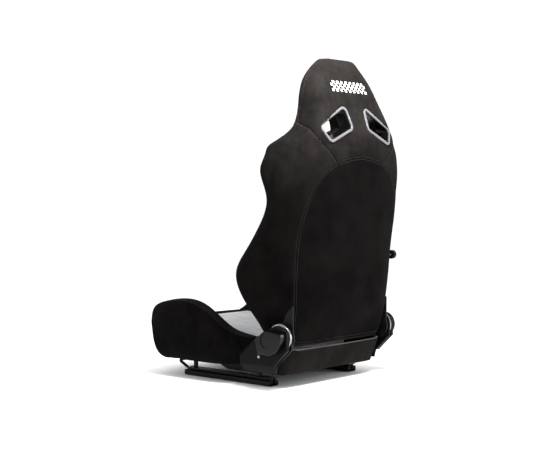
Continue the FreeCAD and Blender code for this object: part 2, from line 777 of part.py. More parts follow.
def build_recliners():
    for name, piece in (
        ("recliner_bracket", recliner_bracket()), ("recliner_ring", recliner_ring()),
        ("recliner_arm", recliner_arm()), ("recliner_cam", recliner_cam()),
        ("recliner_spring", recliner_spring()),
    ):
        keep(f"{name}_left", piece)
        keep(f"{name}_right", mirror(piece))
    shield = keep("side_shield_left", shield_plate())
    bore = cylinder(
        "rod_diameter + 2", "40", ("-lever_inside - 10", "pivot_back", "pivot_height"), X_AXIS,
    )
    keep("side_shield_right", cut(mirror(shield), bore))
    keep("pivot_cap", pivot_cap())
    screw_foot = ("shield_inside + shield_plate", "screw_back", "screw_height")
    screw = cylinder("screw_diameter", "screw_head", screw_foot, X_AXIS)
    keep("shield_screws", group(screw, mirror(screw)))
    keep("recline_lever", recline_lever())
    start = ("-lever_inside - lever_thickness", "pivot_back", "pivot_height")
    reach = "lever_inside + lever_thickness + bracket_inside + bracket_sheet"
    keep("recliner_rod", cylinder("rod_diameter", reach, start, X_AXIS))


# ---- seat cushion ------------------------------------------------------------------------

def bolster_section(station):
    """A section of the left seat bolster, from its inner foot round the outside to the insert."""
    back, under, ridge_height, outside, beside = station
    inside = size("bolster_inside")
    ridge = size("bolster_ridge")
    rise = ridge_height - under
    round_low = min(12, rise * 0.3)
    sag = 5.5 * max(0, min(1, (105 - back) / 60))
    under_edge = V(outside - round_low - 4, back, under - sag)
    knee = V(206, back, under)
    points = [
        under_edge,
        V(outside - 1, back, under - sag + round_low),
        V(outside, back, under + rise * 0.5),
        V(outside - 5, back, ridge_height - rise * 0.16),
        V((ridge + outside) / 2, back, ridge_height - 2),
        V(ridge - 10, back, ridge_height - 4),
        V(ridge - 40, back, beside + (ridge_height - beside) * 0.45),
        V(inside, back, beside),
    ]
    return skin_loop(points, [V(inside, back, under), knee])


def cushion_block(corners, round_corners):
    """A block of the cushion's full insert width, from its side outline."""
    body = new_body("CushionBlock")
    side = new_sketch(body, "YZ_Plane")
    draw_outline(side, corners)
    pad = add_pad(body, side, "2 * insert_half_width", both_ways=True)

    def at_a_round_corner(edge):
        middle = edge.CenterOfMass
        return abs(middle.x) < 1 and any(
            abs(middle.y - back) < 1 and abs(middle.z - up) < 1 for back, up in round_corners
        )

    add_fillet(body, pad, at_a_round_corner, "cushion_round")
    return body


def rear_skirt():
    """The padded panel across the back of the base, bent forward at both ends."""
    half = size("skirt_half_width")
    corner = size("skirt_corner")
    low = size("skirt_low")
    back = size("skirt_low_back")
    ends = back - size("skirt_return")
    plan = [V(half, ends, low), V(half, back, low), V(-half, back, low), V(-half, ends, low)]
    outer = rounded_path(plan, corner)
    thick = size("skirt_thickness")
    inner_plan = [
        V(half - thick, ends, low), V(half - thick, back - thick, low),
        V(-half + thick, back - thick, low), V(-half + thick, ends, low),
    ]
    inner = rounded_path(inner_plan, corner - thick)
    closing = [Part.LineSegment(inner_plan[i], plan[i]).toShape() for i in (0, -1)]
    outline = Part.Wire(Part.__sortEdges__(outer.Edges + inner.Edges + closing))
    rise = V(0, size("skirt_high_back - skirt_low_back"), size("skirt_high - skirt_low"))
    return feature("Skirt", Part.Face(outline).extrude(rise))


def build_cushion():
    sections = [bolster_section(station) for station in BOLSTER_STATIONS]
    bolster = keep("cushion_bolster_left", feature("Bolster", Part.makeLoft(sections, True)))
    keep("cushion_bolster_right", mirror(bolster))
    rear = size("cushion_rear")
    keep("cushion_insert", cushion_block([
        (-200, "cushion_under"), ("cushion_rear", "cushion_under"), ("cushion_rear", 126),
        (100, 134), (0, 146), (-100, 158), ("insert_front", 171), ("insert_front", 64),
    ], [(rear, 126)]))
    front = size("roll_front")
    keep("cushion_front_roll", cushion_block([
        ("insert_front - 0.5", 64), ("insert_front - 0.5", 171), (-264, 173), ("roll_front", 158),
        ("roll_front", 128), (-266, 86), (-244, 68),
    ], [(-264, 173), (front, 158), (front, 128), (-266, 86)]))
    keep("rear_skirt", rear_skirt())


# ---- backrest ------------------------------------------------------------------------------

def back_outline(level):
    """Half of a backrest section, from the spine round the wing to the front of the centre pad."""
    height, spine, corner, wing, front = level
    side_out = wing[0] - corner[0]
    side_back = corner[1] - wing[1]
    small = min(1, wing[0] / 130)
    hollow = max(min((wing[0] - 150) / 80, 1), 0)
    nose = small * (10 + 12 * hollow)
    inner = wing[0] - nose - small * (22 + 8 * hollow)
    foot = inner - small * 26 * (0.4 + 0.6 * hollow)
    depth = front - wing[1]
    return [
        V(0, spine, height),
        V(corner[0] * 0.5, spine - (spine - corner[1]) * 0.16, height),
        V(corner[0] - 24 * small, corner[1] + (spine - corner[1]) * 0.42, height),
        V(corner[0], corner[1] - 3 * small, height),
        V(corner[0] + side_out * 0.36 + 5 * small, corner[1] - side_back * 0.33, height),
        V(corner[0] + side_out * 0.78 + 5 * small, corner[1] - side_back * 0.72, height),
        V(wing[0] - small, wing[1] + 9 * small * small, height),
        V(wing[0] - nose * 0.6, wing[1], height),
        V(inner, wing[1] + depth * 0.12 + 6 * hollow, height),
        V(foot, wing[1] + depth * 0.7, height),
        V(min(inner - 34 * small, 150) * 0.9, front - 5 * hollow, height),
        V(0, front, height),
    ]


def back_heights(level):
    """Rear and front of one level at the border between the wing and the centre pad."""
    curve = Part.BSplineCurve()
    curve.interpolate(back_outline(level))
    border = Part.Plane(V(size("wing_inside"), 0, level[0]), X_AXIS)
    crossings = [V(p.X, p.Y, p.Z) for p in curve.intersectCS(border)[0]]
    crossings.sort(key=lambda p: p.y)
    return crossings[0], crossings[-1]


def wing_section(level):
    """A closed section of the left wing, outside the border with the centre pad."""
    points = back_outline(level)
    front, rear = back_heights(level)
    outside = [p for p in points if p.x > size("wing_inside") + 4]
    return skin_loop([rear] + outside + [front], [])


def front_section(level):
    """A closed section of the centre pad."""
    front_edge, _ = back_heights(level)
    half = size("pad_half_width")
    height = level[0]
    depth = size("pad_depth") if height > 200 else 30
    edge = V(half, front_edge.y, height)
    middle = V(half * 0.5, (front_edge.y + 3 * level[4]) / 4, height)
    curve = [edge, middle, V(0, level[4], height), V(-middle.x, middle.y, height), V(-half, edge.y, height)]
    rear = level[4] + depth
    return skin_loop(curve, [V(-half, rear, height), V(half, rear, height)])


def panel_section(level):
    """A closed section of the rear panel pad."""
    _, rear_edge = back_heights(level)
    half = size("pad_half_width")
    height = level[0]
    thick = size("panel_depth")
    edge = V(half, rear_edge.y, height)
    middle = V(half * 0.55, level[1] - (level[1] - rear_edge.y) * 0.2, height)
    outer = [edge, middle, V(0, level[1], height), V(-middle.x, middle.y, height), V(-half, edge.y, height)]
    inner = [V(p.x, p.y - thick, height) for p in reversed(outer)]
    outer_curve = Part.BSplineCurve()
    outer_curve.interpolate(outer)
    inner_curve = Part.BSplineCurve()
    inner_curve.interpolate(inner)
    return Part.Wire([
        outer_curve.toShape(), Part.LineSegment(outer[-1], inner[0]).toShape(),
        inner_curve.toShape(), Part.LineSegment(inner[-1], outer[0]).toShape(),
    ])


def yoke_section(level):
    """A closed section of the shoulders and headrest, over the whole width."""
    half = back_outline(level)
    other = [V(-p.x, p.y, p.z) for p in reversed(half[1:-1])]
    return ring_loop(half + other)


def harness_rim(corners, rim_back, lean_out, lean_up):
    """Corners of a harness opening on its leaning plane, left side."""
    centre_out = size("hole_centre_out")
    centre_height = size("hole_centre_height")
    rim = []
    for out, height in corners:
        back = rim_back + lean_out * (out - centre_out) + lean_up * (height - centre_height)
        rim.append(V(out, back, height))
    return rim


def harness_bezel(rim, sleeve_depth):
    """A round rim with a thin sleeve that lines the opening."""
    path = rounded_path(rim, size("hole_corner"), closed=True)
    tube = round_bar(path, size("bezel_tube"))
    wall = size("sleeve_wall")
    centre = sum(rim, V()) * (1 / len(rim))

    def shrunk(amount):
        return [p + (centre - p).normalize() * amount for p in rim]

    outer = Part.Face(rounded_path(shrunk(2.5), size("hole_corner"), closed=True))
    inner = Part.Face(rounded_path(shrunk(2.5 + 1.3 * wall), size("hole_corner"), closed=True))
    run = V(0, sleeve_depth, 0)
    sleeve = outer.extrude(run).cut(inner.extrude(run * 1.2))
    return tube.fuse(sleeve).removeSplitter()


def build_harness_openings():
    """Both harness openings: the bezels, and the tunnel they line."""
    rear_rim = harness_rim(REAR_HOLE, size("rear_rim_back"), -0.13, -0.36)
    front_rim = harness_rim(FRONT_HOLE, size("front_rim_back"), -0.16, -0.2)
    rear = feature("RearBezel", harness_bezel(rear_rim, -size("sleeve_rear_depth")))
    front = feature("FrontBezel", harness_bezel(front_rim, size("sleeve_front_depth")))
    for name, piece in (("harness_bezel_rear", rear), ("harness_bezel_front", front)):
        keep(f"{name}_left", piece)
        keep(f"{name}_right", mirror(piece))
    tunnel_rim = [V(p.x, 150, p.z) for p in rear_rim]
    tunnel = Part.Face(rounded_path(tunnel_rim, size("hole_corner"), closed=True))
    return feature("Tunnel", tunnel.extrude(V(0, 300, 0)))


def back_frame():
    """A tube hoop with a lower cross tube between the arms and a brace."""
    out = size("hoop_half_width")
    side = [
        V(out, size("hoop_low_back"), size("hoop_low")), V(out, 296, size("lumbar_height")),
        V(out, 321, 552), V(out, 335, size("hoop_high")),
    ]
    route = side + [V(-p.x, p.y, p.z) for p in reversed(side)]
    hoop = round_bar(rounded_path(route, 42), size("hoop_diameter"))
    reach = size("arm_inside")
    path_low = side[0]
    low = Part.makeCylinder(
        size("hoop_diameter") / 2, 2 * reach, V(-reach, path_low.y, path_low.z), X_AXIS,
    )
    brace = Part.makeCylinder(
        size("brace_diameter") / 2, 2 * out, V(-out, size("brace_back"), size("brace_height")), X_AXIS,
    )
    return feature("BackFrame", hoop.fuse([low, brace]).removeSplitter())


def headrest_frame():
    """A narrow hoop that stands on the back frame and runs up between the harness openings."""
    out = size("mast_half_width")
    side = [
        V(out, 339, size("hoop_high + hoop_diameter / 2")), V(out, 339, 760), V(out, 306, 850),
        V(out, 287, size("mast_top")),
    ]
    route = side + [V(-p.x, p.y, p.z) for p in reversed(side)]
    return feature("HeadrestFrame", round_bar(rounded_path(route, 16), size("mast_diameter")))


def lumbar_wires():
    wires = []
    for back, height in ((292, 270), (294, 320), (315, 500), (320, 545)):
        start = ("-hoop_half_width + hoop_diameter / 2", str(back), str(height))
        length = "2 * hoop_half_width - hoop_diameter"
        wires.append(cylinder("wire_diameter", length, start, X_AXIS))
    return group(*wires)


def wing_clearances():
    """What passes through the left wing: the lower tube, the rod and the recliner arm."""
    start = "wing_inside - 5"
    reach = "arm_inside + 25 - wing_inside"
    slot = "arm_inside - 0.4"
    return fuse(
        cylinder("hoop_diameter + 1", reach, (start, "hoop_low_back", "hoop_low"), X_AXIS),
        cylinder("rod_diameter + 6", reach, (start, "pivot_back", "pivot_height"), X_AXIS),
        cylinder("2 * arm_radius + 6", "40", (slot, "pivot_back", "pivot_height"), X_AXIS),
        box((slot, "pivot_back - arm_radius - 1", "pivot_height"),
            (f"{slot} + arm_sheet + 0.8", "pivot_back + arm_radius + 1", "arm_top + 1")),
    )


def build_lumbar():
    """A knob, shaft and spiral cam that swing a paddle on the brace against the centre pad."""
    knob_start = ("-knob_inside - knob_thickness", "lumbar_back", "lumbar_height")
    knob = document.addObject("Part::Prism", "Knob")
    knob.Polygon = 12
    bind(knob, "Circumradius", "lumbar_knob / 2")
    bind(knob, "Height", "knob_thickness")
    knob.Placement = FreeCAD.Placement(V(), FreeCAD.Rotation(Z_AXIS, X_AXIS))
    put_at(knob, *knob_start)
    keep("lumbar_knob", knob)
    start = ("-knob_inside", "lumbar_back", "lumbar_height")
    reach = "knob_inside + lumbar_plate_out + lumbar_plate"
    keep("lumbar_shaft", cylinder("lumbar_shaft", reach, start, X_AXIS))
    keep("lumbar_cam", lumbar_cam())
    front = "lumbar_back - cam_rest - paddle_gap - paddle_sheet"
    paddle = box(
        ("-paddle_half_width", front, "lumbar_height - paddle_height / 2"),
        ("paddle_half_width", f"{front} + paddle_sheet", "lumbar_height + paddle_height / 2"),
    )
    strap = box(
        ("eye_out - eye_width / 2", front, "lumbar_height"),
        ("eye_out + eye_width / 2", f"{front} + paddle_sheet", "brace_height"),
    )
    eye_start = ("eye_out - eye_width / 2", "brace_back", "brace_height")
    eye = cylinder("eye_diameter", "eye_width", eye_start, X_AXIS)
    hanger = fuse(strap, eye)
    brace_start = ("-hoop_half_width", "brace_back", "brace_height")
    brace = cylinder("brace_diameter + 2 * pin_clearance", "2 * hoop_half_width", brace_start, X_AXIS)
    keep("lumbar_paddle", cut(fuse(paddle, hanger, mirror(hanger)), brace))
    plate = box(
        ("lumbar_plate_out", "lumbar_back - 8", "lumbar_height - 8"),
        ("lumbar_plate_out + lumbar_plate", "lumbar_back + 8", "brace_height"),
    )
    bore = cylinder("lumbar_shaft + 2 * pin_clearance", "40", ("0", "lumbar_back", "lumbar_height"),
                    X_AXIS)
    seat = cylinder("brace_diameter", "40", ("0", "brace_back", "brace_height"), X_AXIS)
    drilled = cut(plate, fuse(bore, seat))
    keep("lumbar_plates", group(drilled, mirror(drilled)))


def lumbar_cam():
    """A spiral cam: its radius grows evenly with its angle about the rest direction."""
    low = size("cam_low")
    high = size("cam_high")
    half_turn = math.radians(120)
    points = []
    for step in range(13):
        share = step / 12
        angle = -half_turn + 2 * half_turn * share
        radius = low + (high - low) * share
        points.append(V(0, -radius * math.cos(angle), radius * math.sin(angle)))
    curve = Part.BSplineCurve()
    curve.interpolate(points)
    closing = Part.LineSegment(points[-1], points[0]).toShape()
    cam = Part.Face(Part.Wire([curve.toShape(), closing])).extrude(V(size("cam_width"), 0, 0))
    bore = Part.makeCylinder(size("lumbar_shaft") / 2, size("cam_width"), V(), X_AXIS)
    cam = cam.fuse(Part.makeCylinder(size("cam_low") - 1, size("cam_width"), V(), X_AXIS)).cut(bore)
    place = V(-size("cam_width") / 2, size("lumbar_back"), size("lumbar_height"))
    return feature("LumbarCam", cam, place)


def build_backrest():
    lower = [level for level in BACK_LEVELS if level[0] <= size("yoke_low")]
    wing = feature("Wing", Part.makeLoft([wing_section(level) for level in lower], True))
    left = keep("back_bolster_left", cut(wing, wing_clearances()))
    shaft_start = ("-knob_inside - 20", "lumbar_back", "lumbar_height")
    shaft_bore = cylinder("lumbar_shaft + 2", "knob_inside + 20 - wing_inside + 5", shaft_start, X_AXIS)
    well_start = ("-knob_inside - 29.6", "lumbar_back", "lumbar_height")
    knob_well = cylinder("lumbar_knob + 2", "30", well_start, X_AXIS)
    keep("back_bolster_right", cut(mirror(left), fuse(shaft_bore, knob_well)))
    pad = Part.makeLoft([front_section(level) for level in lower], True)
    keep("back_centre_pad", feature("CentrePad", pad))
    panel = Part.makeLoft([panel_section(level) for level in lower], True)
    keep("back_panel_pad", feature("PanelPad", panel))
    keep("back_frame", back_frame())
    mast = keep("headrest_frame", headrest_frame())
    upper = [level for level in BACK_LEVELS if level[0] >= size("yoke_low")]
    yoke_loft = Part.makeLoft([yoke_section(level) for level in upper], True)
    yoke = feature("Yoke", yoke_loft, V(0, 0, size("layer_gap")))
    tunnel = build_harness_openings()
    bezels = [sub_parts[f"harness_bezel_{end}_{side}"]
              for end in ("rear", "front") for side in ("left", "right")]
    keep("headrest_pad", cut(yoke, fuse(mast, tunnel, mirror(tunnel), *bezels)))
    keep("lumbar_wires", lumbar_wires())


# ---- build, check and write -----------------------------------------------------------

def check_document():
    """Stop with a plain message if any object failed or any sub-part has no sound shape."""
    for obj in document.Objects:
        if "Invalid" in obj.State or "Error" in obj.State:
            raise RuntimeError(f"{obj.Name} ({obj.Label}) failed: {obj.State}")
    for node, obj in sub_parts.items():
        if obj.Shape.isNull() or not obj.Shape.isValid() or obj.Shape.Volume <= 0:
            raise RuntimeError(f"{node} has no sound shape")


def write_parts():
    os.makedirs("parts", exist_ok=True)
    for node, obj in sub_parts.items():
        obj.Shape.exportStep(f"parts/{node}.step")
        extent = obj.Shape.BoundBox
        print(f"{node}: {len(obj.Shape.Solids)} solid(s), {extent.XLength:.1f} x "
              f"{extent.YLength:.1f} x {extent.ZLength:.1f}, {obj.Shape.Volume / 1000:.1f} cm3")


fill_sheet()
build_rails()
build_adjuster()
build_base()
build_recliners()
build_cushion()
build_backrest()
build_lumbar()
document.recompute()
check_document()
write_parts()
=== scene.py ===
import json
import math

import bmesh
import bpy
import numpy as np
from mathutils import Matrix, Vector
from mathutils.bvhtree import BVHTree
from mathutils.kdtree import KDTree


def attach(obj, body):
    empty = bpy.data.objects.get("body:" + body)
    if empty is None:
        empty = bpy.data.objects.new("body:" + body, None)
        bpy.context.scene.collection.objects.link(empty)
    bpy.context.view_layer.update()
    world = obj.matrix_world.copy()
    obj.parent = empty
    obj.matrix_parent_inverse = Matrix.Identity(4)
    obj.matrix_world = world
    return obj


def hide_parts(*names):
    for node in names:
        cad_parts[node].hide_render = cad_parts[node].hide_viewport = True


# A reclining bucket seat: covers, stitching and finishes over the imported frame, in metres.
# +Z is up, the occupant faces -Y and the occupant's left hand is at +X.

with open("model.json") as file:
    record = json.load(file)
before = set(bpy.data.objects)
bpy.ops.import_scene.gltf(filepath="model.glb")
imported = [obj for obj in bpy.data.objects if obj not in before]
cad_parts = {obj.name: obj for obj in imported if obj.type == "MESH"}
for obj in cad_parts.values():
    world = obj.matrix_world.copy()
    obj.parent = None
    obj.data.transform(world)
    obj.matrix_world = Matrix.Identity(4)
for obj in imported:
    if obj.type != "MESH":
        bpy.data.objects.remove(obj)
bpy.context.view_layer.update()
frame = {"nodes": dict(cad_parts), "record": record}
NODES = frame["nodes"]
SCENE = bpy.context.scene
MM = 0.001


# ---- shader helpers --------------------------------------------------------------------

def add_node(tree, kind, inputs=None, **settings):
    """A node with its settings, and with each input either linked or set."""
    made = tree.nodes.new(kind)
    for key, value in settings.items():
        setattr(made, key, value)
    for key, value in (inputs or {}).items():
        if isinstance(value, bpy.types.NodeSocket):
            tree.links.new(value, made.inputs[key])
        else:
            made.inputs[key].default_value = value
    return made


def noise(tree, place, scale, detail=2.0, roughness=0.5):
    inputs = {"Vector": place, "Scale": scale, "Detail": detail, "Roughness": roughness}
    return add_node(tree, "ShaderNodeTexNoise", inputs).outputs["Fac"]


def spread(tree, value, low, high, to_low=0.0, to_high=1.0):
    """A value mapped from one range to another, clamped."""
    inputs = {"Value": value, "From Min": low, "From Max": high, "To Min": to_low, "To Max": to_high}
    return add_node(tree, "ShaderNodeMapRange", inputs).outputs["Result"]


def maths(tree, operation, first, second):
    return add_node(tree, "ShaderNodeMath", {0: first, 1: second}, operation=operation).outputs[0]


def mix_colour(tree, factor, first, second):
    made = add_node(tree, "ShaderNodeMix", data_type="RGBA")
    for key, value in ((0, factor), (6, first), (7, second)):
        if isinstance(value, bpy.types.NodeSocket):
            tree.links.new(value, made.inputs[key])
        elif key:
            made.inputs[key].default_value = (*value, 1)
        else:
            made.inputs[key].default_value = value
    return made.outputs[2]


def bump(tree, height, strength, distance):
    inputs = {"Height": height, "Strength": strength, "Distance": distance}
    return add_node(tree, "ShaderNodeBump", inputs).outputs["Normal"]


def new_material(name, constants):
    """A material with a Principled shader, its constant sockets set, and object coordinates."""
    made = bpy.data.materials.new(name)
    made.use_nodes = True
    tree = made.node_tree
    shader = tree.nodes["Principled BSDF"]
    for key, value in constants.items():
        shader.inputs[key].default_value = value
    place = add_node(tree, "ShaderNodeTexCoord").outputs["Object"]
    return made, tree, shader, place


def connect(tree, shader, **links):
    names = {"colour": "Base Color", "roughness": "Roughness", "normal": "Normal"}
    for key, socket in links.items():
        tree.links.new(socket, shader.inputs[names[key]])


def stretched(tree, place, scale):
    return add_node(tree, "ShaderNodeMapping", {"Vector": place, "Scale": scale}).outputs[0]


# ---- materials -----------------------------------------------------------------------------

def scaled(colour, factor):
    return tuple(c * factor for c in colour)


def suede(name, dark, light, sheen, specular=0.04, painted_top_light=1.0):
    """Short-nap suede: soft patches and strokes of pile, a fine grain and slow creases.

    Towards the top the colour is painted paler by the given factor: painted light on the headrest and the upper wings.
    """
    made, tree, shader, place = new_material(name, {
        "Sheen Weight": sheen, "Sheen Roughness": 0.42, "Sheen Tint": (1.0, 0.93, 0.88, 1),
        "Specular IOR Level": specular,
    })
    patches = spread(tree, noise(tree, place, 11, 3, 0.6), 0.36, 0.64)
    strokes = spread(tree, noise(tree, stretched(tree, place, (1, 1, 0.35)), 70, 3, 0.6), 0.3, 0.7)
    grain = noise(tree, place, 1500, 2, 0.6)
    pile = maths(tree, "ADD", maths(tree, "MULTIPLY", patches, 0.5),
                 maths(tree, "MULTIPLY", strokes, 0.25))
    pile = maths(tree, "ADD", pile, maths(tree, "MULTIPLY", grain, 0.35))
    height = maths(tree, "ADD", grain, maths(tree, "MULTIPLY", noise(tree, place, 190, 3, 0.6), 0.9))
    above = add_node(tree, "ShaderNodeSeparateXYZ", {0: place}).outputs["Z"]
    # Painted light: the colour for the upper parts is the pile colour made paler by the given factor.
    painted_lit_colour = mix_colour(tree, pile, scaled(dark, painted_top_light), scaled(light, painted_top_light))
    lower = mix_colour(tree, pile, dark, light)
    connect(tree, shader, colour=mix_colour(tree, spread(tree, above, 0.50, 0.80), lower, painted_lit_colour),
            roughness=spread(tree, patches, 0, 1, 0.94, 0.78),
            normal=bump(tree, height, 0.28, 0.0007))
    return made


def knit(name, dark, light):
    """Spacer knit: small round cells in offset rows, with a paler thread between them."""
    made, tree, shader, place = new_material(name, {
        "Sheen Weight": 0.25, "Sheen Roughness": 0.4, "Specular IOR Level": 0.2,
    })
    cells = add_node(tree, "ShaderNodeTexVoronoi", {
        "Vector": stretched(tree, place, (1, 0.8, 1)), "Scale": 360.0, "Randomness": 0.2,
    }).outputs["Distance"]
    threads = spread(tree, cells, 0.12, 0.5)
    cloud = spread(tree, noise(tree, place, 25, 3), 0.3, 0.7, 0.0, 0.3)
    fuzz = noise(tree, place, 2600, 1)
    weight = maths(tree, "MULTIPLY", threads, maths(tree, "SUBTRACT", 1.0, cloud))
    height = maths(tree, "ADD", threads, maths(tree, "MULTIPLY", fuzz, 0.25))
    connect(tree, shader, colour=mix_colour(tree, weight, dark, light),
            roughness=spread(tree, threads, 0, 1, 0.95, 0.75),
            normal=bump(tree, height, 0.6, 0.0009))
    return made


def moulding(name, colour, roughness, grain, specular, coat=0.0, painted_rim_highlight=1.0):
    """Injection-moulded plastic: spark-eroded grain, faint flow marks and handling wear.

    Faces that look to the front or the rear are painted paler by the last factor: a painted highlight on the rim.
    """
    made, tree, shader, place = new_material(name, {
        "Coat Weight": coat, "Coat Roughness": 0.12, "Specular IOR Level": specular,
    })
    flow = noise(tree, place, 16, 3)
    scuffs = spread(tree, noise(tree, stretched(tree, place, (1, 6, 1)), 60, 4, 0.7), 0.6, 0.75)
    fine = noise(tree, place, 1700, 2)
    dull = tuple(c * 1.5 + 0.001 for c in colour)
    worn = maths(tree, "MULTIPLY", scuffs, 0.5)
    facing = add_node(tree, "ShaderNodeTexCoord").outputs["Normal"]
    facing = add_node(tree, "ShaderNodeSeparateXYZ", {0: facing}).outputs["Y"]
    # Painted highlight: a mask of the faces that look to the front or the rear.
    rim = spread(tree, maths(tree, "POWER", facing, 2.0), 0.25, 0.70)
    body = mix_colour(tree, worn, colour, dull)
    painted_highlight_colour = mix_colour(tree, worn, scaled(colour, painted_rim_highlight), scaled(dull, painted_rim_highlight))
    connect(tree, shader, colour=mix_colour(tree, rim, body, painted_highlight_colour),
            roughness=spread(tree, maths(tree, "ADD", flow, worn), 0.3, 1.1,
                             roughness - 0.06, roughness + 0.14),
            normal=bump(tree, fine, grain, 0.0004))
    return made


def coated_steel(name, colour, roughness):
    """Powder or electro coat on steel: orange peel, patches of dust and small chips."""
    made, tree, shader, place = new_material(name, {"Specular IOR Level": 0.10})
    peel = noise(tree, place, 420, 2)
    dust = spread(tree, noise(tree, place, 22, 4, 0.65), 0.5, 0.75, 0.0, 0.5)
    chips = spread(tree, noise(tree, place, 240, 4, 0.7), 0.72, 0.76)
    dusty = mix_colour(tree, dust, colour, tuple(c * 1.6 + 0.001 for c in colour))
    rough = maths(tree, "ADD", maths(tree, "MULTIPLY", dust, 0.25),
                  spread(tree, peel, 0.3, 0.7, roughness - 0.05, roughness + 0.05))
    connect(tree, shader, colour=mix_colour(tree, chips, dusty, (0.015, 0.0145, 0.014)),
            roughness=rough, normal=bump(tree, peel, 0.2, 0.0004))
    return made


def brushed_steel(name, colour):
    """Zinc-plated steel with fine drawn lines and slight staining."""
    made, tree, shader, place = new_material(name, {"Metallic": 1.0})
    lines = noise(tree, stretched(tree, place, (1, 1, 0.04)), 1100, 3, 0.6)
    stain = spread(tree, noise(tree, place, 45, 4), 0.4, 0.7)
    connect(tree, shader,
            colour=mix_colour(tree, stain, colour, tuple(c * 0.72 for c in colour)),
            roughness=spread(tree, maths(tree, "ADD", lines, stain), 0.3, 1.5, 0.22, 0.42),
            normal=bump(tree, lines, 0.12, 0.0003))
    return made


def thread(name, dark, light):
    """Twisted sewing thread."""
    made, tree, shader, place = new_material(name, {
        "Sheen Weight": 0.3, "Sheen Roughness": 0.3, "Specular IOR Level": 0.3,
    })
    ply = add_node(tree, "ShaderNodeTexWave", {
        "Vector": place, "Scale": 420.0, "Distortion": 2.0, "Detail": 2.0,
    }, bands_direction="DIAGONAL").outputs["Fac"]
    fuzz = noise(tree, place, 900, 2)
    connect(tree, shader, colour=mix_colour(tree, maths(tree, "MULTIPLY", ply, fuzz), dark, light),
            roughness=spread(tree, fuzz, 0.3, 0.7, 0.6, 0.85), normal=bump(tree, ply, 0.4, 0.0004))
    return made


def pale_floor(name):
    made, tree, shader, place = new_material(name, {"Specular IOR Level": 0.05})
    mottle = noise(tree, place, 6, 2)
    connect(tree, shader, colour=mix_colour(tree, mottle, (0.93, 0.93, 0.93), (0.95, 0.95, 0.95)),
            roughness=spread(tree, mottle, 0.3, 0.7, 0.85, 0.95))
    return made


MATERIALS = {
    "suede": suede("suede_black", (0.0008, 0.0007, 0.0007), (0.0036, 0.0032, 0.0030), 0.010, 0.015),
    # suede_side: painted light, up to 3.1 times paler towards the top, on the headrest and side covers.
    "suede_side": suede("suede_side", (0.0010, 0.0009, 0.0009), (0.0042, 0.0037, 0.0034), 0.012, 0.02, 3.1),
    "suede_skirt": suede("suede_skirt", (0.0020, 0.0016, 0.0016), (0.0078, 0.0062, 0.0060), 0.02, 0.03),
    # The piping suede is far paler than the skirt suede: a painted highlight along the skirt's top edge.
    "suede_piping_painted_highlight": suede("suede_piping_painted_highlight", (0.0200, 0.0170, 0.0165), (0.0500, 0.0430, 0.0420), 0.2, 0.3),
    "insert_knit": knit("knit_grey", (0.080, 0.082, 0.084), (0.400, 0.405, 0.415)),
    "moulded_plastic": moulding("moulding_black", (0.0012, 0.0012, 0.0013), 0.40, 0.30, 0.05),
    # The 70 paints a highlight onto the bezels' front and rear faces.
    "bezel_plastic": moulding("bezel_black", (0.0016, 0.0016, 0.0017), 0.30, 0.06, 0.10, 0.10, 70.0),
    "cap_plastic": moulding("cap_black", (0.0014, 0.0014, 0.0015), 0.26, 0.12, 0.10, coat=0.10),
    "rail_steel": coated_steel("rail_coat", (0.0015, 0.0015, 0.0015), 0.38),
    "frame_steel": coated_steel("frame_coat", (0.0020, 0.0020, 0.0021), 0.42),
    "bright_steel": brushed_steel("zinc_plate", (0.24, 0.24, 0.245)),
    "thread_black": thread("thread_black", (0.004, 0.0036, 0.0036), (0.016, 0.0145, 0.014)),
    "thread_brown": thread("thread_brown", (0.020, 0.0115, 0.0085), (0.055, 0.032, 0.024)),
    "thread_white": thread("thread_white", (0.60, 0.60, 0.60), (0.90, 0.90, 0.89)),
}


def dress(obj, name):
    obj.data.materials.clear()
    obj.data.materials.append(MATERIALS[name])


for subpart in frame["record"]["subparts"]:
    dress(NODES[subpart["node"]], subpart["material_slot"])
dress(NODES["pivot_cap"], "cap_plastic")


# ---- meshes ----------------------------------------------------------------------------------

def new_object(name, points, faces):
    mesh = bpy.data.meshes.new(name)
    mesh.from_pydata(np.asarray(points).tolist(), [], np.asarray(faces).tolist())
    mesh.polygons.foreach_set("use_smooth", np.ones(len(mesh.polygons), bool))
    mesh.update()
    obj = bpy.data.objects.new(name, mesh)
    SCENE.collection.objects.link(obj)
    return obj


def mesh_points(mesh):
    flat = np.empty(len(mesh.vertices) * 3)
    mesh.vertices.foreach_get("co", flat)
    return flat.reshape(-1, 3)


def mesh_edges(mesh):
    flat = np.empty(len(mesh.edges) * 2, int)
    mesh.edges.foreach_get("vertices", flat)
    return flat.reshape(-1, 2)


def mesh_triangles(mesh):
    mesh.calc_loop_triangles()
    flat = np.empty(len(mesh.loop_triangles) * 3, int)
    mesh.loop_triangles.foreach_get("vertices", flat)
    return flat.reshape(-1, 3)


def apply_modifiers(obj):
    graph = bpy.context.evaluated_depsgraph_get()
    made = bpy.data.meshes.new_from_object(obj.evaluated_get(graph))
    obj.modifiers.clear()
    obj.vertex_groups.clear()
    old = obj.data
    obj.data = made
    bpy.data.meshes.remove(old)


def vertex_normals(points, triangles):
    a, b, c = (points[triangles[:, i]] for i in range(3))
    facing = np.cross(b - a, c - a)
    total = np.zeros_like(points)
    for i in range(3):
        for axis in range(3):
            total[:, axis] += np.bincount(triangles[:, i], facing[:, axis], len(points))
    return total / np.maximum(np.linalg.norm(total, axis=1, keepdims=True), 1e-12)


def relax(points, edges, rounds):
    """Smooth the voxel steps away and keep the volume."""
    count = np.bincount(edges.ravel(), minlength=len(points))[:, None]
    for _ in range(rounds):
        for step in (0.5, -0.53):
            total = np.zeros_like(points)
            for axis in range(3):
                total[:, axis] += np.bincount(edges[:, 0], points[edges[:, 1], axis], len(points))
                total[:, axis] += np.bincount(edges[:, 1], points[edges[:, 0], axis], len(points))
            points = points + step * (total / count - points)
    return points


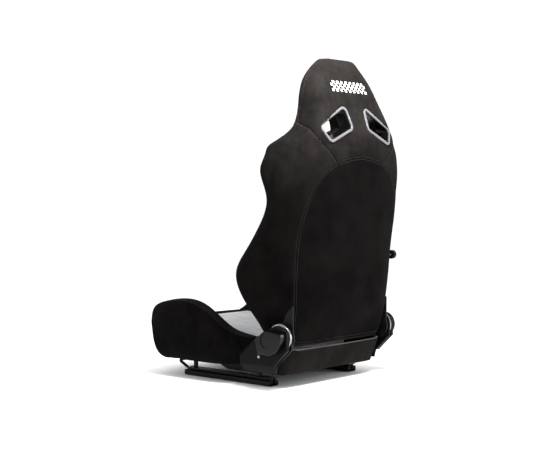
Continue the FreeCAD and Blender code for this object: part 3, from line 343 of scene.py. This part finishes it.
def joined_skin(name, node_names, blocks, voxel, rounds):
    """One closed skin round several CAD solids and filling blocks given by their corners."""
    whole = bmesh.new()
    for node_name in node_names:
        part = bmesh.new()
        part.from_mesh(NODES[node_name].data)
        bmesh.ops.remove_doubles(part, verts=part.verts, dist=1e-5)
        bmesh.ops.recalc_face_normals(part, faces=part.faces)
        for vertex in part.verts:
            vertex.co += vertex.normal * OVERLAP
        mesh = bpy.data.meshes.new(node_name + "_grown")
        part.to_mesh(mesh)
        part.free()
        whole.from_mesh(mesh)
        bpy.data.meshes.remove(mesh)
    for corners in blocks:
        block = [whole.verts.new(Vector(corner) * MM) for corner in corners]
        bmesh.ops.convex_hull(whole, input=block)
    mesh = bpy.data.meshes.new(name)
    whole.to_mesh(mesh)
    whole.free()
    obj = bpy.data.objects.new(name, mesh)
    SCENE.collection.objects.link(obj)
    obj.modifiers.new("Remesh", "REMESH").voxel_size = voxel
    apply_modifiers(obj)
    keep_outer_shell(obj.data)
    points = relax(mesh_points(obj.data), mesh_edges(obj.data), rounds)
    obj.data.vertices.foreach_set("co", points.ravel())
    obj.data.update()
    return obj


def keep_outer_shell(mesh):
    """Delete every shell but the one with the most vertices."""
    edges = mesh_edges(mesh)
    label = np.arange(len(mesh.vertices))
    while True:
        low = np.minimum(label[edges[:, 0]], label[edges[:, 1]])
        fresh = label.copy()
        np.minimum.at(fresh, edges[:, 0], low)
        np.minimum.at(fresh, edges[:, 1], low)
        fresh = fresh[fresh]
        if (fresh == label).all():
            break
        label = fresh
    main = np.bincount(label).argmax()
    bm = bmesh.new()
    bm.from_mesh(mesh)
    bm.verts.ensure_lookup_table()
    bmesh.ops.delete(bm, geom=[bm.verts[i] for i in np.nonzero(label != main)[0]], context="VERTS")
    bm.to_mesh(mesh)
    bm.free()


def inflate(obj, pinned, pressure, cap):
    """Cloth under a little air, held along its seams, with each point's move capped."""
    start = mesh_points(obj.data)
    group = obj.vertex_groups.new(name="held")
    group.add(np.nonzero(pinned)[0].tolist(), 1.0, "REPLACE")
    cloth = obj.modifiers.new("Cloth", "CLOTH")
    cloth.settings.vertex_group_mass = "held"
    cloth.settings.use_pressure = True
    cloth.settings.uniform_pressure_force = pressure
    cloth.settings.effector_weights.gravity = 0
    cloth.settings.quality = 4
    cloth.point_cache.frame_end = SIM_FRAMES
    for number in range(1, SIM_FRAMES + 1):
        SCENE.frame_set(number)
    graph = bpy.context.evaluated_depsgraph_get()
    shaped = bpy.data.meshes.new_from_object(obj.evaluated_get(graph))
    moved = mesh_points(shaped) - start
    bpy.data.meshes.remove(shaped)
    obj.modifiers.clear()
    obj.vertex_groups.clear()
    SCENE.frame_set(1)
    length = np.maximum(np.linalg.norm(moved, axis=1, keepdims=True), 1e-9)
    moved *= cap * np.tanh(length / cap) / length
    obj.data.vertices.foreach_set("co", (start + moved).ravel())
    obj.data.update()


def subdivide(obj):
    obj.modifiers.new("Subdivision", "SUBSURF").levels = 1
    apply_modifiers(obj)


OVERLAP = 0.0008
SIM_FRAMES = 20


# ---- seams -------------------------------------------------------------------------------------

def tree_of(points, triangles):
    return BVHTree.FromPolygons(points.tolist(), triangles.tolist())


def on_skin(tree, control):
    """A seam's control point, in millimetres, found on the skin from the side it is seen from."""
    side, *place = control
    u, v, *rest = (value * MM for value in place)
    far = 2.0
    rays = {
        "rear": ((u, far, v), (0, -1, 0)), "front": ((u, -far, v), (0, 1, 0)),
        "left": ((far, u, v), (-1, 0, 0)), "right": ((-far, u, v), (1, 0, 0)),
        "top": ((u, v, far), (0, 0, -1)), "under": ((u, v, -far), (0, 0, 1)),
    }
    if side == "near":
        return tree.find_nearest(Vector((u, v, rest[0])))[0]
    hit = tree.ray_cast(*(Vector(value) for value in rays[side]))[0]
    return hit if hit else tree.find_nearest(Vector(rays[side][0]))[0]


def opposite(controls):
    """The same control points on the other side of the seat."""
    swap = {"left": "right", "right": "left"}
    made = []
    for side, *place in controls:
        if side in ("rear", "front", "top", "under", "near"):
            place = [-place[0], *place[1:]]
        made.append((swap.get(side, side), *place))
    return made


def seam_curve(tree, controls, closed=False, pitch=0.001):
    """A smooth curve through control points, laid on the skin, with even steps."""
    points = np.array([on_skin(tree, control) for control in controls])
    if closed:
        points = np.vstack([points[-1:], points, points[:2]])
    else:
        points = np.vstack([2 * points[0] - points[1], points, 2 * points[-1] - points[-2]])
    fine = []
    for i in range(1, len(points) - 2):
        p0, p1, p2, p3 = points[i - 1:i + 3]
        steps = max(2, int(np.linalg.norm(p2 - p1) / 0.004))
        t = np.linspace(0, 1, steps, endpoint=False)[:, None]
        fine.append(0.5 * (2 * p1 + (p2 - p0) * t + (2 * p0 - 5 * p1 + 4 * p2 - p3) * t ** 2
                           + (3 * p1 - p0 - 3 * p2 + p3) * t ** 3))
    fine = np.vstack(fine + [points[-2:-1]])
    return lay_down(tree, even_steps(fine, pitch))


def even_steps(points, pitch):
    length = np.concatenate([[0], np.cumsum(np.linalg.norm(np.diff(points, axis=0), axis=1))])
    count = max(2, int(round(length[-1] / pitch)) + 1)
    at = np.linspace(0, length[-1], count)
    return np.stack([np.interp(at, length, points[:, axis]) for axis in range(3)], 1)


def lay_down(tree, points):
    return np.array([tree.find_nearest(Vector(p))[0] for p in points])


def seam_distance(points, curves):
    """Distance from each point to the nearest seam."""
    table = table_of(np.vstack(curves))
    return np.array([table.find(p)[2] for p in points])


def refine(points, triangles, marked):
    """Halve the edges whose two ends are both marked, and split the triangles to fit."""
    corners = triangles
    pairs = np.sort(np.concatenate([corners[:, [0, 1]], corners[:, [1, 2]], corners[:, [2, 0]]]), 1)
    keys, index = np.unique(pairs, axis=0, return_inverse=True)
    index = index.reshape(3, -1).T
    split = marked[keys].all(1)
    number = np.cumsum(split) - 1 + len(points)
    fresh = points[keys[split]].mean(1)
    made = []
    cut = split[index]
    count = cut.sum(1)
    middle = number[index]
    made.append(corners[count == 0])
    t, m = corners[count == 3], middle[count == 3]
    made += [np.stack(s, 1) for s in (
        (t[:, 0], m[:, 0], m[:, 2]), (m[:, 0], t[:, 1], m[:, 1]),
        (m[:, 2], m[:, 1], t[:, 2]), (m[:, 0], m[:, 1], m[:, 2]),
    )]
    rows = count == 1
    t, m = turned(corners[rows], middle[rows], cut[rows].argmax(1))
    made += [np.stack(s, 1) for s in ((t[:, 0], m[:, 0], t[:, 2]), (m[:, 0], t[:, 1], t[:, 2]))]
    rows = count == 2
    t, m = turned(corners[rows], middle[rows], (np.argmin(cut[rows], 1) + 1) % 3)
    made += [np.stack(s, 1) for s in (
        (t[:, 0], m[:, 0], t[:, 2]), (m[:, 0], t[:, 1], m[:, 1]), (m[:, 0], m[:, 1], t[:, 2]),
    )]
    return np.vstack([points, fresh]), np.vstack(made)


def turned(corners, middles, first):
    """Triangles and their edge middles, turned to start at a given corner."""
    rows = np.arange(len(corners))[:, None]
    order = (first[:, None] + np.arange(3)) % 3
    return corners[rows, order], middles[rows, order]


def table_of(points, numbers=None):
    """A search tree over points, with their row numbers."""
    table = KDTree(len(points))
    for number, place in zip(range(len(points)) if numbers is None else numbers.tolist(), points):
        table.insert(place, number)
    table.balance()
    return table


def side_of_curve(points, band, normals_at, curve, reach):
    """Signed distance to an open or closed curve near it, and NaN elsewhere."""
    table = table_of(curve)
    tangent = np.gradient(curve, axis=0)
    closed = np.linalg.norm(curve[0] - curve[-1]) < 0.004
    if closed:
        tangent[0] = tangent[-1] = curve[1] - curve[-2]
    tangent /= np.linalg.norm(tangent, axis=1, keepdims=True)
    across = np.cross(normals_at, tangent)
    value = np.full(len(points), np.nan)
    inside = ((points[band] > curve.min(0) - reach) & (points[band] < curve.max(0) + reach)).all(1)
    for i in band[inside].tolist():
        place = points[i]
        _, number, distance = table.find(place)
        if distance > reach:
            continue
        away = place - curve[number]
        along = away @ tangent[number]
        if not closed and (number == 0 and along < 0 or number == len(curve) - 1 and along > 0):
            continue
        flat = away - along * tangent[number]
        size = np.linalg.norm(flat)
        value[i] = max(size, 0.00012) * (1 if flat @ across[number] > 0 else -1)
    return value


def cut_along(points, triangles, value, seam_edges):
    """Split the triangles that a curve crosses, and note the edges that lie on it."""
    known = ~np.isnan(value)
    side = np.where(known, value, 0) > 0
    sides = side[triangles]
    mixed = known[triangles].all(1) & sides.any(1) & ~sides.all(1)
    t, s = triangles[mixed], sides[mixed]
    lone = np.where(s.sum(1) == 1, s.argmax(1), (~s).argmax(1))
    rows = np.arange(len(t))
    a, b, c = t[rows, lone], t[rows, (lone + 1) % 3], t[rows, (lone + 2) % 3]
    pairs = np.sort(np.concatenate([np.stack([a, b], 1), np.stack([a, c], 1)]), 1)
    keys, index = np.unique(pairs, axis=0, return_inverse=True)
    index = index.reshape(-1)
    first, second = value[keys[:, 0]], value[keys[:, 1]]
    share = (first / (first - second))[:, None]
    fresh = points[keys[:, 0]] * (1 - share) + points[keys[:, 1]] * share
    number = index + len(points)
    p, q = number[:len(t)], number[len(t):]
    for i, (u, v) in enumerate(keys.tolist()):
        if (u, v) in seam_edges:
            seam_edges.discard((u, v))
            seam_edges.add((u, len(points) + i))
            seam_edges.add((v, len(points) + i))
    for u, v in np.sort(np.stack([p, q], 1), 1).tolist():
        seam_edges.add((u, v))
    made = [np.stack(s, 1) for s in ((a, p, q), (p, b, c), (p, c, q))]
    points = np.vstack([points, fresh])
    triangles = np.vstack([triangles[~mixed]] + made)
    return close_gaps(points, triangles, keys, len(points) - len(fresh))


def close_gaps(points, triangles, keys, start):
    """Split the uncut triangles that have a split edge, so that no gap opens."""
    table = {tuple(key): start + i for i, key in enumerate(keys.tolist())}
    ends = np.zeros(len(points), bool)
    ends[keys.ravel()] = True
    near = np.nonzero(ends[triangles].sum(1) >= 2)[0]
    drop = []
    made = []
    for row in near.tolist():
        corners = triangles[row].tolist()
        for i in range(3):
            u, v, w = corners[i], corners[(i + 1) % 3], corners[(i + 2) % 3]
            middle = table.get((min(u, v), max(u, v)))
            if middle is not None:
                drop.append(row)
                made += [(u, middle, w), (middle, v, w)]
                break
    if drop:
        triangles = np.vstack([np.delete(triangles, drop, 0), np.array(made)])
    return points, triangles


def patches_of(triangles, seam_edges, count):
    """Number the patches of triangles that the seams divide."""
    pairs = np.sort(np.concatenate([
        triangles[:, [0, 1]], triangles[:, [1, 2]], triangles[:, [2, 0]],
    ]), 1)
    code = pairs[:, 0] * count + pairs[:, 1]
    if seam_edges:
        seams = np.array(sorted(seam_edges))
        blocked = np.isin(code, seams[:, 0] * count + seams[:, 1])
    else:
        blocked = np.zeros(len(code), bool)
    owner = np.tile(np.arange(len(triangles)), 3)[~blocked]
    code = code[~blocked]
    order = np.argsort(code, kind="stable")
    code, owner = code[order], owner[order]
    same = code[1:] == code[:-1]
    links = np.stack([owner[1:][same], owner[:-1][same]], 1)
    label = np.arange(len(triangles))
    while True:
        low = np.minimum(label[links[:, 0]], label[links[:, 1]])
        fresh = label.copy()
        np.minimum.at(fresh, links[:, 0], low)
        np.minimum.at(fresh, links[:, 1], low)
        fresh = fresh[fresh]
        if (fresh == label).all():
            return label
        label = fresh


CREASE = ((0.0017, 0.0016), (0.0012, 0.0065))    # depth and half width, narrow and broad
FINE_BAND = 0.008


def upholster(skin, seams, pieces, depth=1.0):
    """Cut a skin along its seams into named pieces, and draw the seams in."""
    points, triangles = mesh_points(skin.data), mesh_triangles(skin.data)
    curves = list(seams.values())
    near = seam_distance(points, curves) < FINE_BAND
    far = np.nonzero(~near)[0]
    points, triangles = refine(points, triangles, near)
    seam_edges = set()
    for curve in curves:
        normals = vertex_normals(points, triangles)
        band = np.setdiff1d(np.arange(len(points)), far, assume_unique=True)
        table = table_of(points[band], band)
        at_curve = normals[[table.find(p)[1] for p in curve]]
        value = side_of_curve(points, band, at_curve, curve, 0.006)
        points, triangles = cut_along(points, triangles, value, seam_edges)
    label = patches_of(triangles, seam_edges, len(points))
    normals = vertex_normals(points, triangles)
    distance = seam_distance(points, curves)
    for amount, width in CREASE:
        points = points - normals * (depth * amount * np.exp(-(distance / width) ** 2))[:, None]
    names = name_patches(points, triangles, label, pieces)
    made = {}
    for name in pieces:
        chosen = triangles[names == name]
        used, compact = np.unique(chosen, return_inverse=True)
        made[name] = new_object(name, points[used], compact.reshape(-1, 3))
    bpy.data.objects.remove(skin)
    return made, tree_of(points, triangles)


def name_patches(points, triangles, label, pieces):
    """Give each patch the name of the piece whose marker is nearest to it; specks join a neighbour."""
    centres = points[triangles].mean(1)
    groups, sizes = np.unique(label, return_counts=True)
    names = np.full(len(triangles), "", dtype=object)
    tree = tree_of(points, triangles)
    for name, markers in pieces.items():
        for marker in markers:
            place = on_skin(tree, marker)
            nearest = np.argmin(((centres - np.array(place)) ** 2).sum(1))
            names[label == label[nearest]] = name
    named = np.nonzero(names != "")[0]
    loose = np.nonzero(names == "")[0]
    print("PATCHES", len(groups), sorted(sizes.tolist())[-14:], "loose", len(loose))
    if len(loose):
        table = table_of(centres[named], named)
        for i in loose.tolist():
            names[i] = names[table.find(centres[i])[1]]
    return names


# ---- stitching ----------------------------------------------------------------------------------

def stitch_row(name, tree, curve, offset, finish, length=0.0034, gap=0.0013, radius=0.00042):
    """A row of short stitches laid beside a seam."""
    centre = even_steps(curve, length + gap)
    points, faces = [], []
    rings = 6
    profile = [(-0.5, 0.35, -0.5), (-0.36, 0.95, 0.15), (0.0, 1.0, 0.35), (0.36, 0.95, 0.15),
               (0.5, 0.35, -0.5)]
    for i in range(len(centre) - 1):
        middle = (centre[i] + centre[i + 1]) / 2
        along = centre[i + 1] - centre[i]
        size = np.linalg.norm(along)
        if size < 1e-6:
            continue
        along = along / size
        place, normal, *_ = tree.find_nearest(Vector(middle))
        if offset:
            sideways = np.cross(np.array(normal), along)
            place, normal, *_ = tree.find_nearest(Vector(middle + sideways * offset))
        normal = np.array(normal)
        sideways = np.cross(normal, along)
        base = len(points)
        for share, wide, lift in profile:
            hub = np.array(place) + along * share * length + normal * lift * radius
            for k in range(rings):
                angle = 2 * math.pi * k / rings
                points.append(hub + radius * wide * (
                    math.cos(angle) * sideways + math.sin(angle) * normal))
        for ring in range(len(profile) - 1):
            for k in range(rings):
                a, b = base + ring * rings + k, base + ring * rings + (k + 1) % rings
                faces += [(a, b, b + rings), (a, b + rings, a + rings)]
        last = base + (len(profile) - 1) * rings
        for k in range(1, rings - 1):
            faces += [(base, base + k + 1, base + k), (last, last + k, last + k + 1)]
    obj = new_object(name, points, faces)
    dress(obj, finish)
    return obj


def tube_on(name, tree, curve, lift, radius, finish, closed=False):
    """A round roll of fabric along a curve of the skin."""
    centre = even_steps(curve, 0.004)
    sides = 10
    points, faces = [], []
    tangent = np.gradient(centre, axis=0)
    tangent /= np.linalg.norm(tangent, axis=1, keepdims=True)
    for i, place in enumerate(centre):
        spot, normal, *_ = tree.find_nearest(Vector(place))
        normal = np.array(normal) - tangent[i] * np.dot(np.array(normal), tangent[i])
        normal /= np.linalg.norm(normal)
        sideways = np.cross(normal, tangent[i])
        taper = 1.0 if closed else min(1.0, 0.35 + 0.3 * min(i, len(centre) - 1 - i))
        for k in range(sides):
            angle = 2 * math.pi * k / sides
            points.append(np.array(spot) + normal * lift + radius * taper * (
                math.cos(angle) * sideways + math.sin(angle) * normal))
    count = len(centre)
    for i in range(count if closed else count - 1):
        j = (i + 1) % count
        for k in range(sides):
            a, b = i * sides + k, i * sides + (k + 1) % sides
            c, d = j * sides + (k + 1) % sides, j * sides + k
            faces += [(a, b, c), (a, c, d)]
    if not closed:
        last = (count - 1) * sides
        for k in range(1, sides - 1):
            faces += [(0, k + 1, k), (last, last + k, last + k + 1)]
    obj = new_object(name, points, faces)
    dress(obj, finish)
    return obj


# ---- backrest covers ------------------------------------------------------------------------------

BACK_SOLIDS = ["back_bolster_left", "back_bolster_right", "back_centre_pad", "back_panel_pad",
               "headrest_pad"]
# The bottom between the two pads, and the slot that the left recliner arm stands in.
BACK_FOOT = [(x, y, z) for x in (-168, 168) for y, z in ((236, 126.5), (281, 126.5), (236, 150), (288, 150))]
ARM_SLOT = [
    (222, 229, 190), (238, 229, 196), (234, 256, 197), (227.5, 280, 197), (222, 294, 197),
    (222, 229, 250), (247, 229, 250), (242, 253, 250), (234, 280, 250), (225.5, 304, 250),
]

# Seam control points in millimetres, on the side each is seen from.
ARCH_LEFT = [
    ("rear", 200, 137), ("near", 214, 296, 180), ("near", 220, 306, 230), ("near", 225, 312, 280),
    ("near", 229, 317, 340), ("near", 231, 324, 411), ("near", 228, 335, 474),
    ("near", 219, 345, 520), ("rear", 207, 554), ("rear", 199, 578), ("rear", 188, 596),
    ("rear", 176, 612), ("rear", 162, 629), ("rear", 143, 643), ("rear", 127, 652),
    ("rear", 109, 659), ("rear", 84, 666), ("rear", 57, 671),
]
SHOULDER_LEFT = [
    ("near", 110, 376, 653), ("near", 113, 376, 662), ("near", 130, 377, 678),
    ("near", 147, 376, 693), ("near", 165, 372, 709), ("near", 180, 365, 726),
    ("near", 186, 348, 746), ("near", 180, 322, 763), ("near", 175, 294, 773),
    ("near", 166, 266, 783), ("near", 160, 258, 787),
]
HEAD_EDGE_LEFT = [
    ("near", 176, 266, 768), ("near", 168, 272, 779), ("near", 158, 263, 795), ("near", 151, 260, 812),
    ("near", 148, 263, 833), ("near", 146, 270, 862), ("near", 142, 276, 891),
    ("near", 130, 277, 921), ("near", 113, 279, 943), ("near", 88, 283, 962),
    ("near", 50, 286, 974),
]
NECK_FRONT_LEFT = [
    ("near", 162, 277, 793), ("near", 166, 270, 784), ("near", 172, 254, 766), ("front", 178, 738), ("front", 164, 715),
    ("front", 138, 702), ("front", 96, 698), ("front", 50, 695),
]
INSERT_LEFT = [
    ("front", 114, 129), ("front", 132, 180), ("front", 142, 260), ("front", 146, 340),
    ("front", 145, 430), ("front", 143, 520), ("front", 142, 600), ("front", 134, 655),
    ("front", 110, 686), ("front", 97, 706),
]


def with_middle(left, middle):
    """A closed loop: up the left side, through the middle and down the right side."""
    return left + middle + opposite(left)[::-1]


def dress_back():
    other_slot = [(-x, y, z) for x, y, z in ARM_SLOT]
    skin = joined_skin("back_skin", BACK_SOLIDS, [BACK_FOOT, ARM_SLOT, other_slot], 0.006, 6)
    rough = tree_of(mesh_points(skin.data), mesh_triangles(skin.data))
    routes = {
        "arch": (with_middle(ARCH_LEFT, [("rear", 0, 678)]) + [
            ("rear", -150, 133), ("rear", 0, 133), ("rear", 150, 133)], True),
        "shoulder_left": (SHOULDER_LEFT, False),
        "shoulder_right": (opposite(SHOULDER_LEFT), False),
        "head_edge": (with_middle(HEAD_EDGE_LEFT, [("near", 0, 287, 977)]), False),
        "neck_front": (with_middle(NECK_FRONT_LEFT, [("front", 0, 694)]), False),
        "insert_left": (INSERT_LEFT, False),
        "insert_right": (opposite(INSERT_LEFT), False),
        "insert_foot": ([("front", 122, 139), ("front", 60, 136), ("front", 0, 136),
                         ("front", -60, 136), ("front", -122, 139)], False),
    }
    curves = {key: seam_curve(rough, *route) for key, route in routes.items()}
    points = mesh_points(skin.data)
    held = seam_distance(points, list(curves.values())) < 0.006
    rims = [mesh_points(NODES[f"harness_bezel_{end}_{side}"].data)
            for end in ("rear", "front") for side in ("left", "right")]
    rims.append(mesh_points(NODES["lumbar_knob"].data))
    held |= seam_distance(points, rims) < 0.016
    held |= points[:, 2] < 0.145
    inflate(skin, held, 3.5, 0.006)
    subdivide(skin)
    smooth = tree_of(mesh_points(skin.data), mesh_triangles(skin.data))
    curves = {key: lay_down(smooth, curve) for key, curve in curves.items()}
    pieces = {
        "back_panel_cover": [("rear", 0, 400)],
        "headrest_cover": [("rear", 0, 820), ("front", 0, 850)],
        "back_insert_cover": [("front", 0, 420)],
        "back_side_cover": [("left", 260, 500), ("right", 260, 500)],
    }
    made, tree = upholster(skin, curves, pieces)
    stands_for = {
        "back_panel_cover": ["back_panel_pad"], "headrest_cover": ["headrest_pad"],
        "back_insert_cover": ["back_centre_pad"],
        "back_side_cover": ["back_bolster_left", "back_bolster_right"],
    }
    for name, obj in made.items():
        finish = "insert_knit" if name == "back_insert_cover" else "suede"
        # The headrest and side covers take suede_side, with painted light towards the top.
        dress(obj, "suede_side" if name.startswith("headrest") or name == "back_side_cover" else finish)
        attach(obj, "backrest")
        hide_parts(*stands_for.get(name, []))
    rows = [
        ("stitches_arch_inner", "arch", 0.0042, "thread_black"),
        ("stitches_arch_outer", "arch", -0.0042, "thread_black"),
        ("stitches_shoulder_left", "shoulder_left", 0.0042, "thread_black"),
        ("stitches_shoulder_right", "shoulder_right", -0.0042, "thread_black"),
        ("stitches_head_edge_a", "head_edge", 0.0042, "thread_brown"),
        ("stitches_head_edge_b", "head_edge", -0.0042, "thread_brown"),
        ("stitches_insert_left", "insert_left", 0.0042, "thread_brown"),
        ("stitches_insert_right", "insert_right", -0.0042, "thread_brown"),
    ]
    for name, seam, offset, finish in rows:
        row = stitch_row(name, tree, curves[seam], offset, finish)
        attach(row, "backrest")
    foot = [("near", x, y, 127) for x, y in (
        (204, 282), (170, 286), (120, 288.5), (60, 289.5), (0, 290))]
    hem = seam_curve(tree, foot + opposite(foot[:-1])[::-1])
    # The roll takes the paler skirt suede: painted light on the roll between the two creases.
    roll = tube_on("back_hem_roll", tree, hem, 0.0002, 0.0040, "suede_skirt")
    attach(roll, "backrest")
    return tree


def embroider(tree):
    """A plain chequered strip sewn in white thread behind the headrest."""
    columns, rows, square, rise = 17, 4, 0.0098, 0.0083
    points, faces = [], []
    steps = 6
    for column in range(columns):
        for row in range(rows):
            if (column + row) % 2:
                continue
            left = (column - columns / 2) * square
            low = 0.874 + row * rise
            base = len(points)
            for i in range(steps + 1):
                for j in range(steps + 1):
                    x = left + square * i / steps
                    z = low + rise * j / steps
                    spot, normal, *_ = tree.ray_cast(Vector((x, 1, z)), Vector((0, -1, 0)))
                    edge = i in (0, steps) or j in (0, steps)
                    points.append(spot + normal * (-0.0002 if edge else 0.0007))
            for i in range(steps):
                for j in range(steps):
                    a = base + i * (steps + 1) + j
                    b = a + steps + 1
                    faces += [(a, a + 1, b + 1), (a, b + 1, b)]
    obj = new_object("headrest_chequer", [tuple(p) for p in points], faces)
    dress(obj, "thread_white")
    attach(obj, "backrest")


# ---- seat cushion covers ------------------------------------------------------------------------------

SEAT_SOLIDS = ["cushion_bolster_left", "cushion_bolster_right", "cushion_insert",
               "cushion_front_roll"]
# A seam that ends on another seam runs a little past it.
INSERT_SIDE = [
    ("near", 153, -214, 52), ("near", 154, -232, 64), ("near", 156, -250, 86),
    ("near", 156, -268, 120), ("near", 156, -272, 150), ("near", 155, -262, 170),
    ("near", 154, -240, 176), ("top", 153, -222), ("top", 153, -150), ("top", 153, -50),
    ("top", 153, 50), ("top", 153, 150), ("top", 152, 186), ("near", 152, 197, 110),
    ("near", 152, 197, 66), ("near", 152, 178, 52),
]
WELT_LEFT = [
    ("near", 200, 174, 52), ("near", 206, 197, 64), ("near", 207, 198, 100),
    ("near", 208, 190, 145), ("near", 210, 150, 145), ("near", 217, 124, 146),
    ("near", 229, 100, 152), ("near", 239, 80, 159), ("near", 245, 60, 169),
    ("near", 249, 29, 188), ("near", 250, -4, 208), ("near", 251, -38, 227),
    ("near", 252, -90, 242), ("top", 250, -130), ("top", 248, -170), ("top", 244, -205),
    ("top", 238, -236), ("near", 230, -256, 206), ("near", 222, -266, 190),
    ("near", 214, -268, 172), ("near", 205, -262, 150), ("near", 200, -250, 115),
    ("near", 196, -232, 76), ("near", 196, -212, 58), ("near", 196, -198, 52),
]
HEM_LEFT = [
    ("near", 150, -232, 56), ("near", 196, -221, 56), ("near", 238, -203, 56),
    ("near", 254, -160, 56), ("near", 256, -60, 56), ("near", 252, 20, 56),
    ("near", 240, 70, 56), ("near", 212, 104, 56), ("near", 208, 150, 56),
    ("near", 206, 184, 56), ("near", 150, 188, 56),
]


def dress_seat():
    front_gap = [(x, y, z) for x in (-153, 153) for y in (-262, -200) for z in (100, 168)]
    skin = joined_skin("seat_skin", SEAT_SOLIDS, [front_gap], 0.005, 6)
    rough = tree_of(mesh_points(skin.data), mesh_triangles(skin.data))
    routes = {
        "insert_left": (INSERT_SIDE, False), "insert_right": (opposite(INSERT_SIDE), False),
        "insert_front": ([("top", 162, -225), ("top", 80, -226), ("top", 0, -227),
                          ("top", -80, -226), ("top", -162, -225)], False),
        "welt_left": (WELT_LEFT, False), "welt_right": (opposite(WELT_LEFT), False),
        "hem": (with_middle([("near", 0, -234, 56)] + HEM_LEFT, [("near", 0, 188, 56)])[:-1], True),
    }
    curves = {key: seam_curve(rough, *route) for key, route in routes.items()}
    points = mesh_points(skin.data)
    held = seam_distance(points, list(curves.values())) < 0.005
    held |= points[:, 2] < 0.068
    inflate(skin, held, 4.0, 0.006)
    subdivide(skin)
    smooth = tree_of(mesh_points(skin.data), mesh_triangles(skin.data))
    curves = {key: lay_down(smooth, curve) for key, curve in curves.items()}
    pieces = {
        "cushion_insert_cover": [("top", 0, 0)],
        "cushion_front_cover": [("front", 0, 140)],
        "cushion_bolster_cover_left": [("top", 200, -100)],
        "cushion_bolster_cover_right": [("top", -200, -100)],
        "cushion_side_cover_left": [("left", -60, 120)],
        "cushion_side_cover_right": [("right", -60, 120)],
        "cushion_under_cover": [("under", 0, 0)],
    }
    made, tree = upholster(skin, curves, pieces)
    stands_for = {
        "cushion_insert_cover": "cushion_insert", "cushion_front_cover": "cushion_front_roll",
        "cushion_bolster_cover_left": "cushion_bolster_left",
        "cushion_bolster_cover_right": "cushion_bolster_right",
    }
    for name, obj in made.items():
        finish = "insert_knit" if name == "cushion_insert_cover" else "suede"
        dress(obj, finish)
        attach(obj, "seat_base")
        if name in stands_for:
            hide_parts(stands_for[name])
    rows = []
    for side in ("left", "right"):
        for tag, offset in (("a", 0.0045), ("b", -0.0045)):
            rows.append((f"stitches_welt_{side}_{tag}", "welt_" + side, offset, "thread_brown"))
        rows.append((f"stitches_insert_side_{side}", "insert_" + side,
                     -0.0045 if side == "left" else 0.0045, "thread_brown"))
    rows.append(("stitches_insert_front", "insert_front", 0.0045, "thread_brown"))
    for name, seam, offset, finish in rows:
        row = stitch_row(name, tree, curves[seam], offset, finish)
        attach(row, "seat_base")


def dress_skirt():
    skin = joined_skin("skirt_skin", ["rear_skirt"], [], 0.0035, 4)
    rough = tree_of(mesh_points(skin.data), mesh_triangles(skin.data))
    seam_left = [("rear", 188, 112), ("rear", 189, 90), ("rear", 190, 66), ("rear", 191, 44)]
    curves = {
        "seam_left": seam_curve(rough, seam_left), "seam_right": seam_curve(rough, opposite(seam_left)),
    }
    points = mesh_points(skin.data)
    held = seam_distance(points, list(curves.values())) < 0.004
    inflate(skin, held, 2.5, 0.0025)
    subdivide(skin)
    smooth = tree_of(mesh_points(skin.data), mesh_triangles(skin.data))
    curves = {key: lay_down(smooth, curve) for key, curve in curves.items()}
    made, tree = upholster(skin, curves, {"skirt_cover": [("rear", 0, 80)]})
    obj = made["skirt_cover"]
    dress(obj, "suede_skirt")
    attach(obj, "seat_base")
    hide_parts("rear_skirt")
    edge = [("near", x, y, 118) for x, y in (
        (216, 262), (208, 284), (186, 293), (150, 293.5), (80, 293.5), (0, 293.5))]
    rim = seam_curve(tree, edge + opposite(edge[:-1])[::-1])
    # The pale piping is a painted highlight along the top edge of the skirt.
    piping = tube_on("skirt_piping", tree, rim, 0.0004, 0.0017, "suede_piping_painted_highlight")
    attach(piping, "seat_base")
    for side in ("left", "right"):
        offset = 0.003 if side == "left" else -0.003
        row = stitch_row(f"stitches_skirt_{side}", tree, curves["seam_" + side], offset,
                         "thread_black")
        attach(row, "seat_base")


back_tree = dress_back()
embroider(back_tree)
dress_seat()
dress_skirt()


# ---- floor, light and camera ------------------------------------------------------------------------

def add_floor():
    half = 30.0
    corners = [(-half, -half, 0), (half, -half, 0), (half, half, 0), (-half, half, 0)]
    floor = new_object("floor", corners, [(0, 1, 2, 3)])
    floor.data.materials.append(pale_floor("floor_white"))


def add_light(name, place, target, size, power, colour=(1, 1, 1)):
    lamp = bpy.data.lights.new(name, "AREA")
    lamp.shape = "RECTANGLE"
    lamp.size, lamp.size_y = size
    lamp.energy = power
    lamp.color = colour
    obj = bpy.data.objects.new(name, lamp)
    SCENE.collection.objects.link(obj)
    obj.location = place
    obj.rotation_euler = (Vector(target) - Vector(place)).to_track_quat("-Z", "Y").to_euler()


def add_world(strength):
    world = bpy.data.worlds.new("white_room")
    world.use_nodes = True
    world.node_tree.nodes["Background"].inputs["Color"].default_value = (1, 1, 1, 1)
    world.node_tree.nodes["Background"].inputs["Strength"].default_value = strength
    SCENE.world = world


def add_camera():
    lens = bpy.data.cameras.new("camera")
    lens.lens = 76.06
    lens.sensor_width = 36
    lens.clip_end = 200
    obj = bpy.data.objects.new("camera", lens)
    SCENE.collection.objects.link(obj)
    obj.location = (2.7708, 2.4698, 0.580)
    pitch = math.radians(1.676)
    level = Vector((-0.7513, -0.6600, 0)).normalized() * math.cos(pitch)
    obj.rotation_euler = (level - Vector((0, 0, math.sin(pitch)))).to_track_quat("-Z", "Y").to_euler()
    SCENE.camera = obj


add_floor()
add_world(1.12)
add_light("key", (0.30, 0.78, 1.48), (0.0, 0.30, 0.85), (0.45, 0.45), 46)
add_light("overhead", (0.25, -0.10, 2.05), (0.0, 0.05, 0.4), (1.3, 1.3), 12)
add_light("rear_right", (-1.5, 2.0, 0.45), (0.2, 0.27, 0.2), (0.7, 1.0), 22)
add_camera()
SCENE.view_settings.view_transform = "Standard"
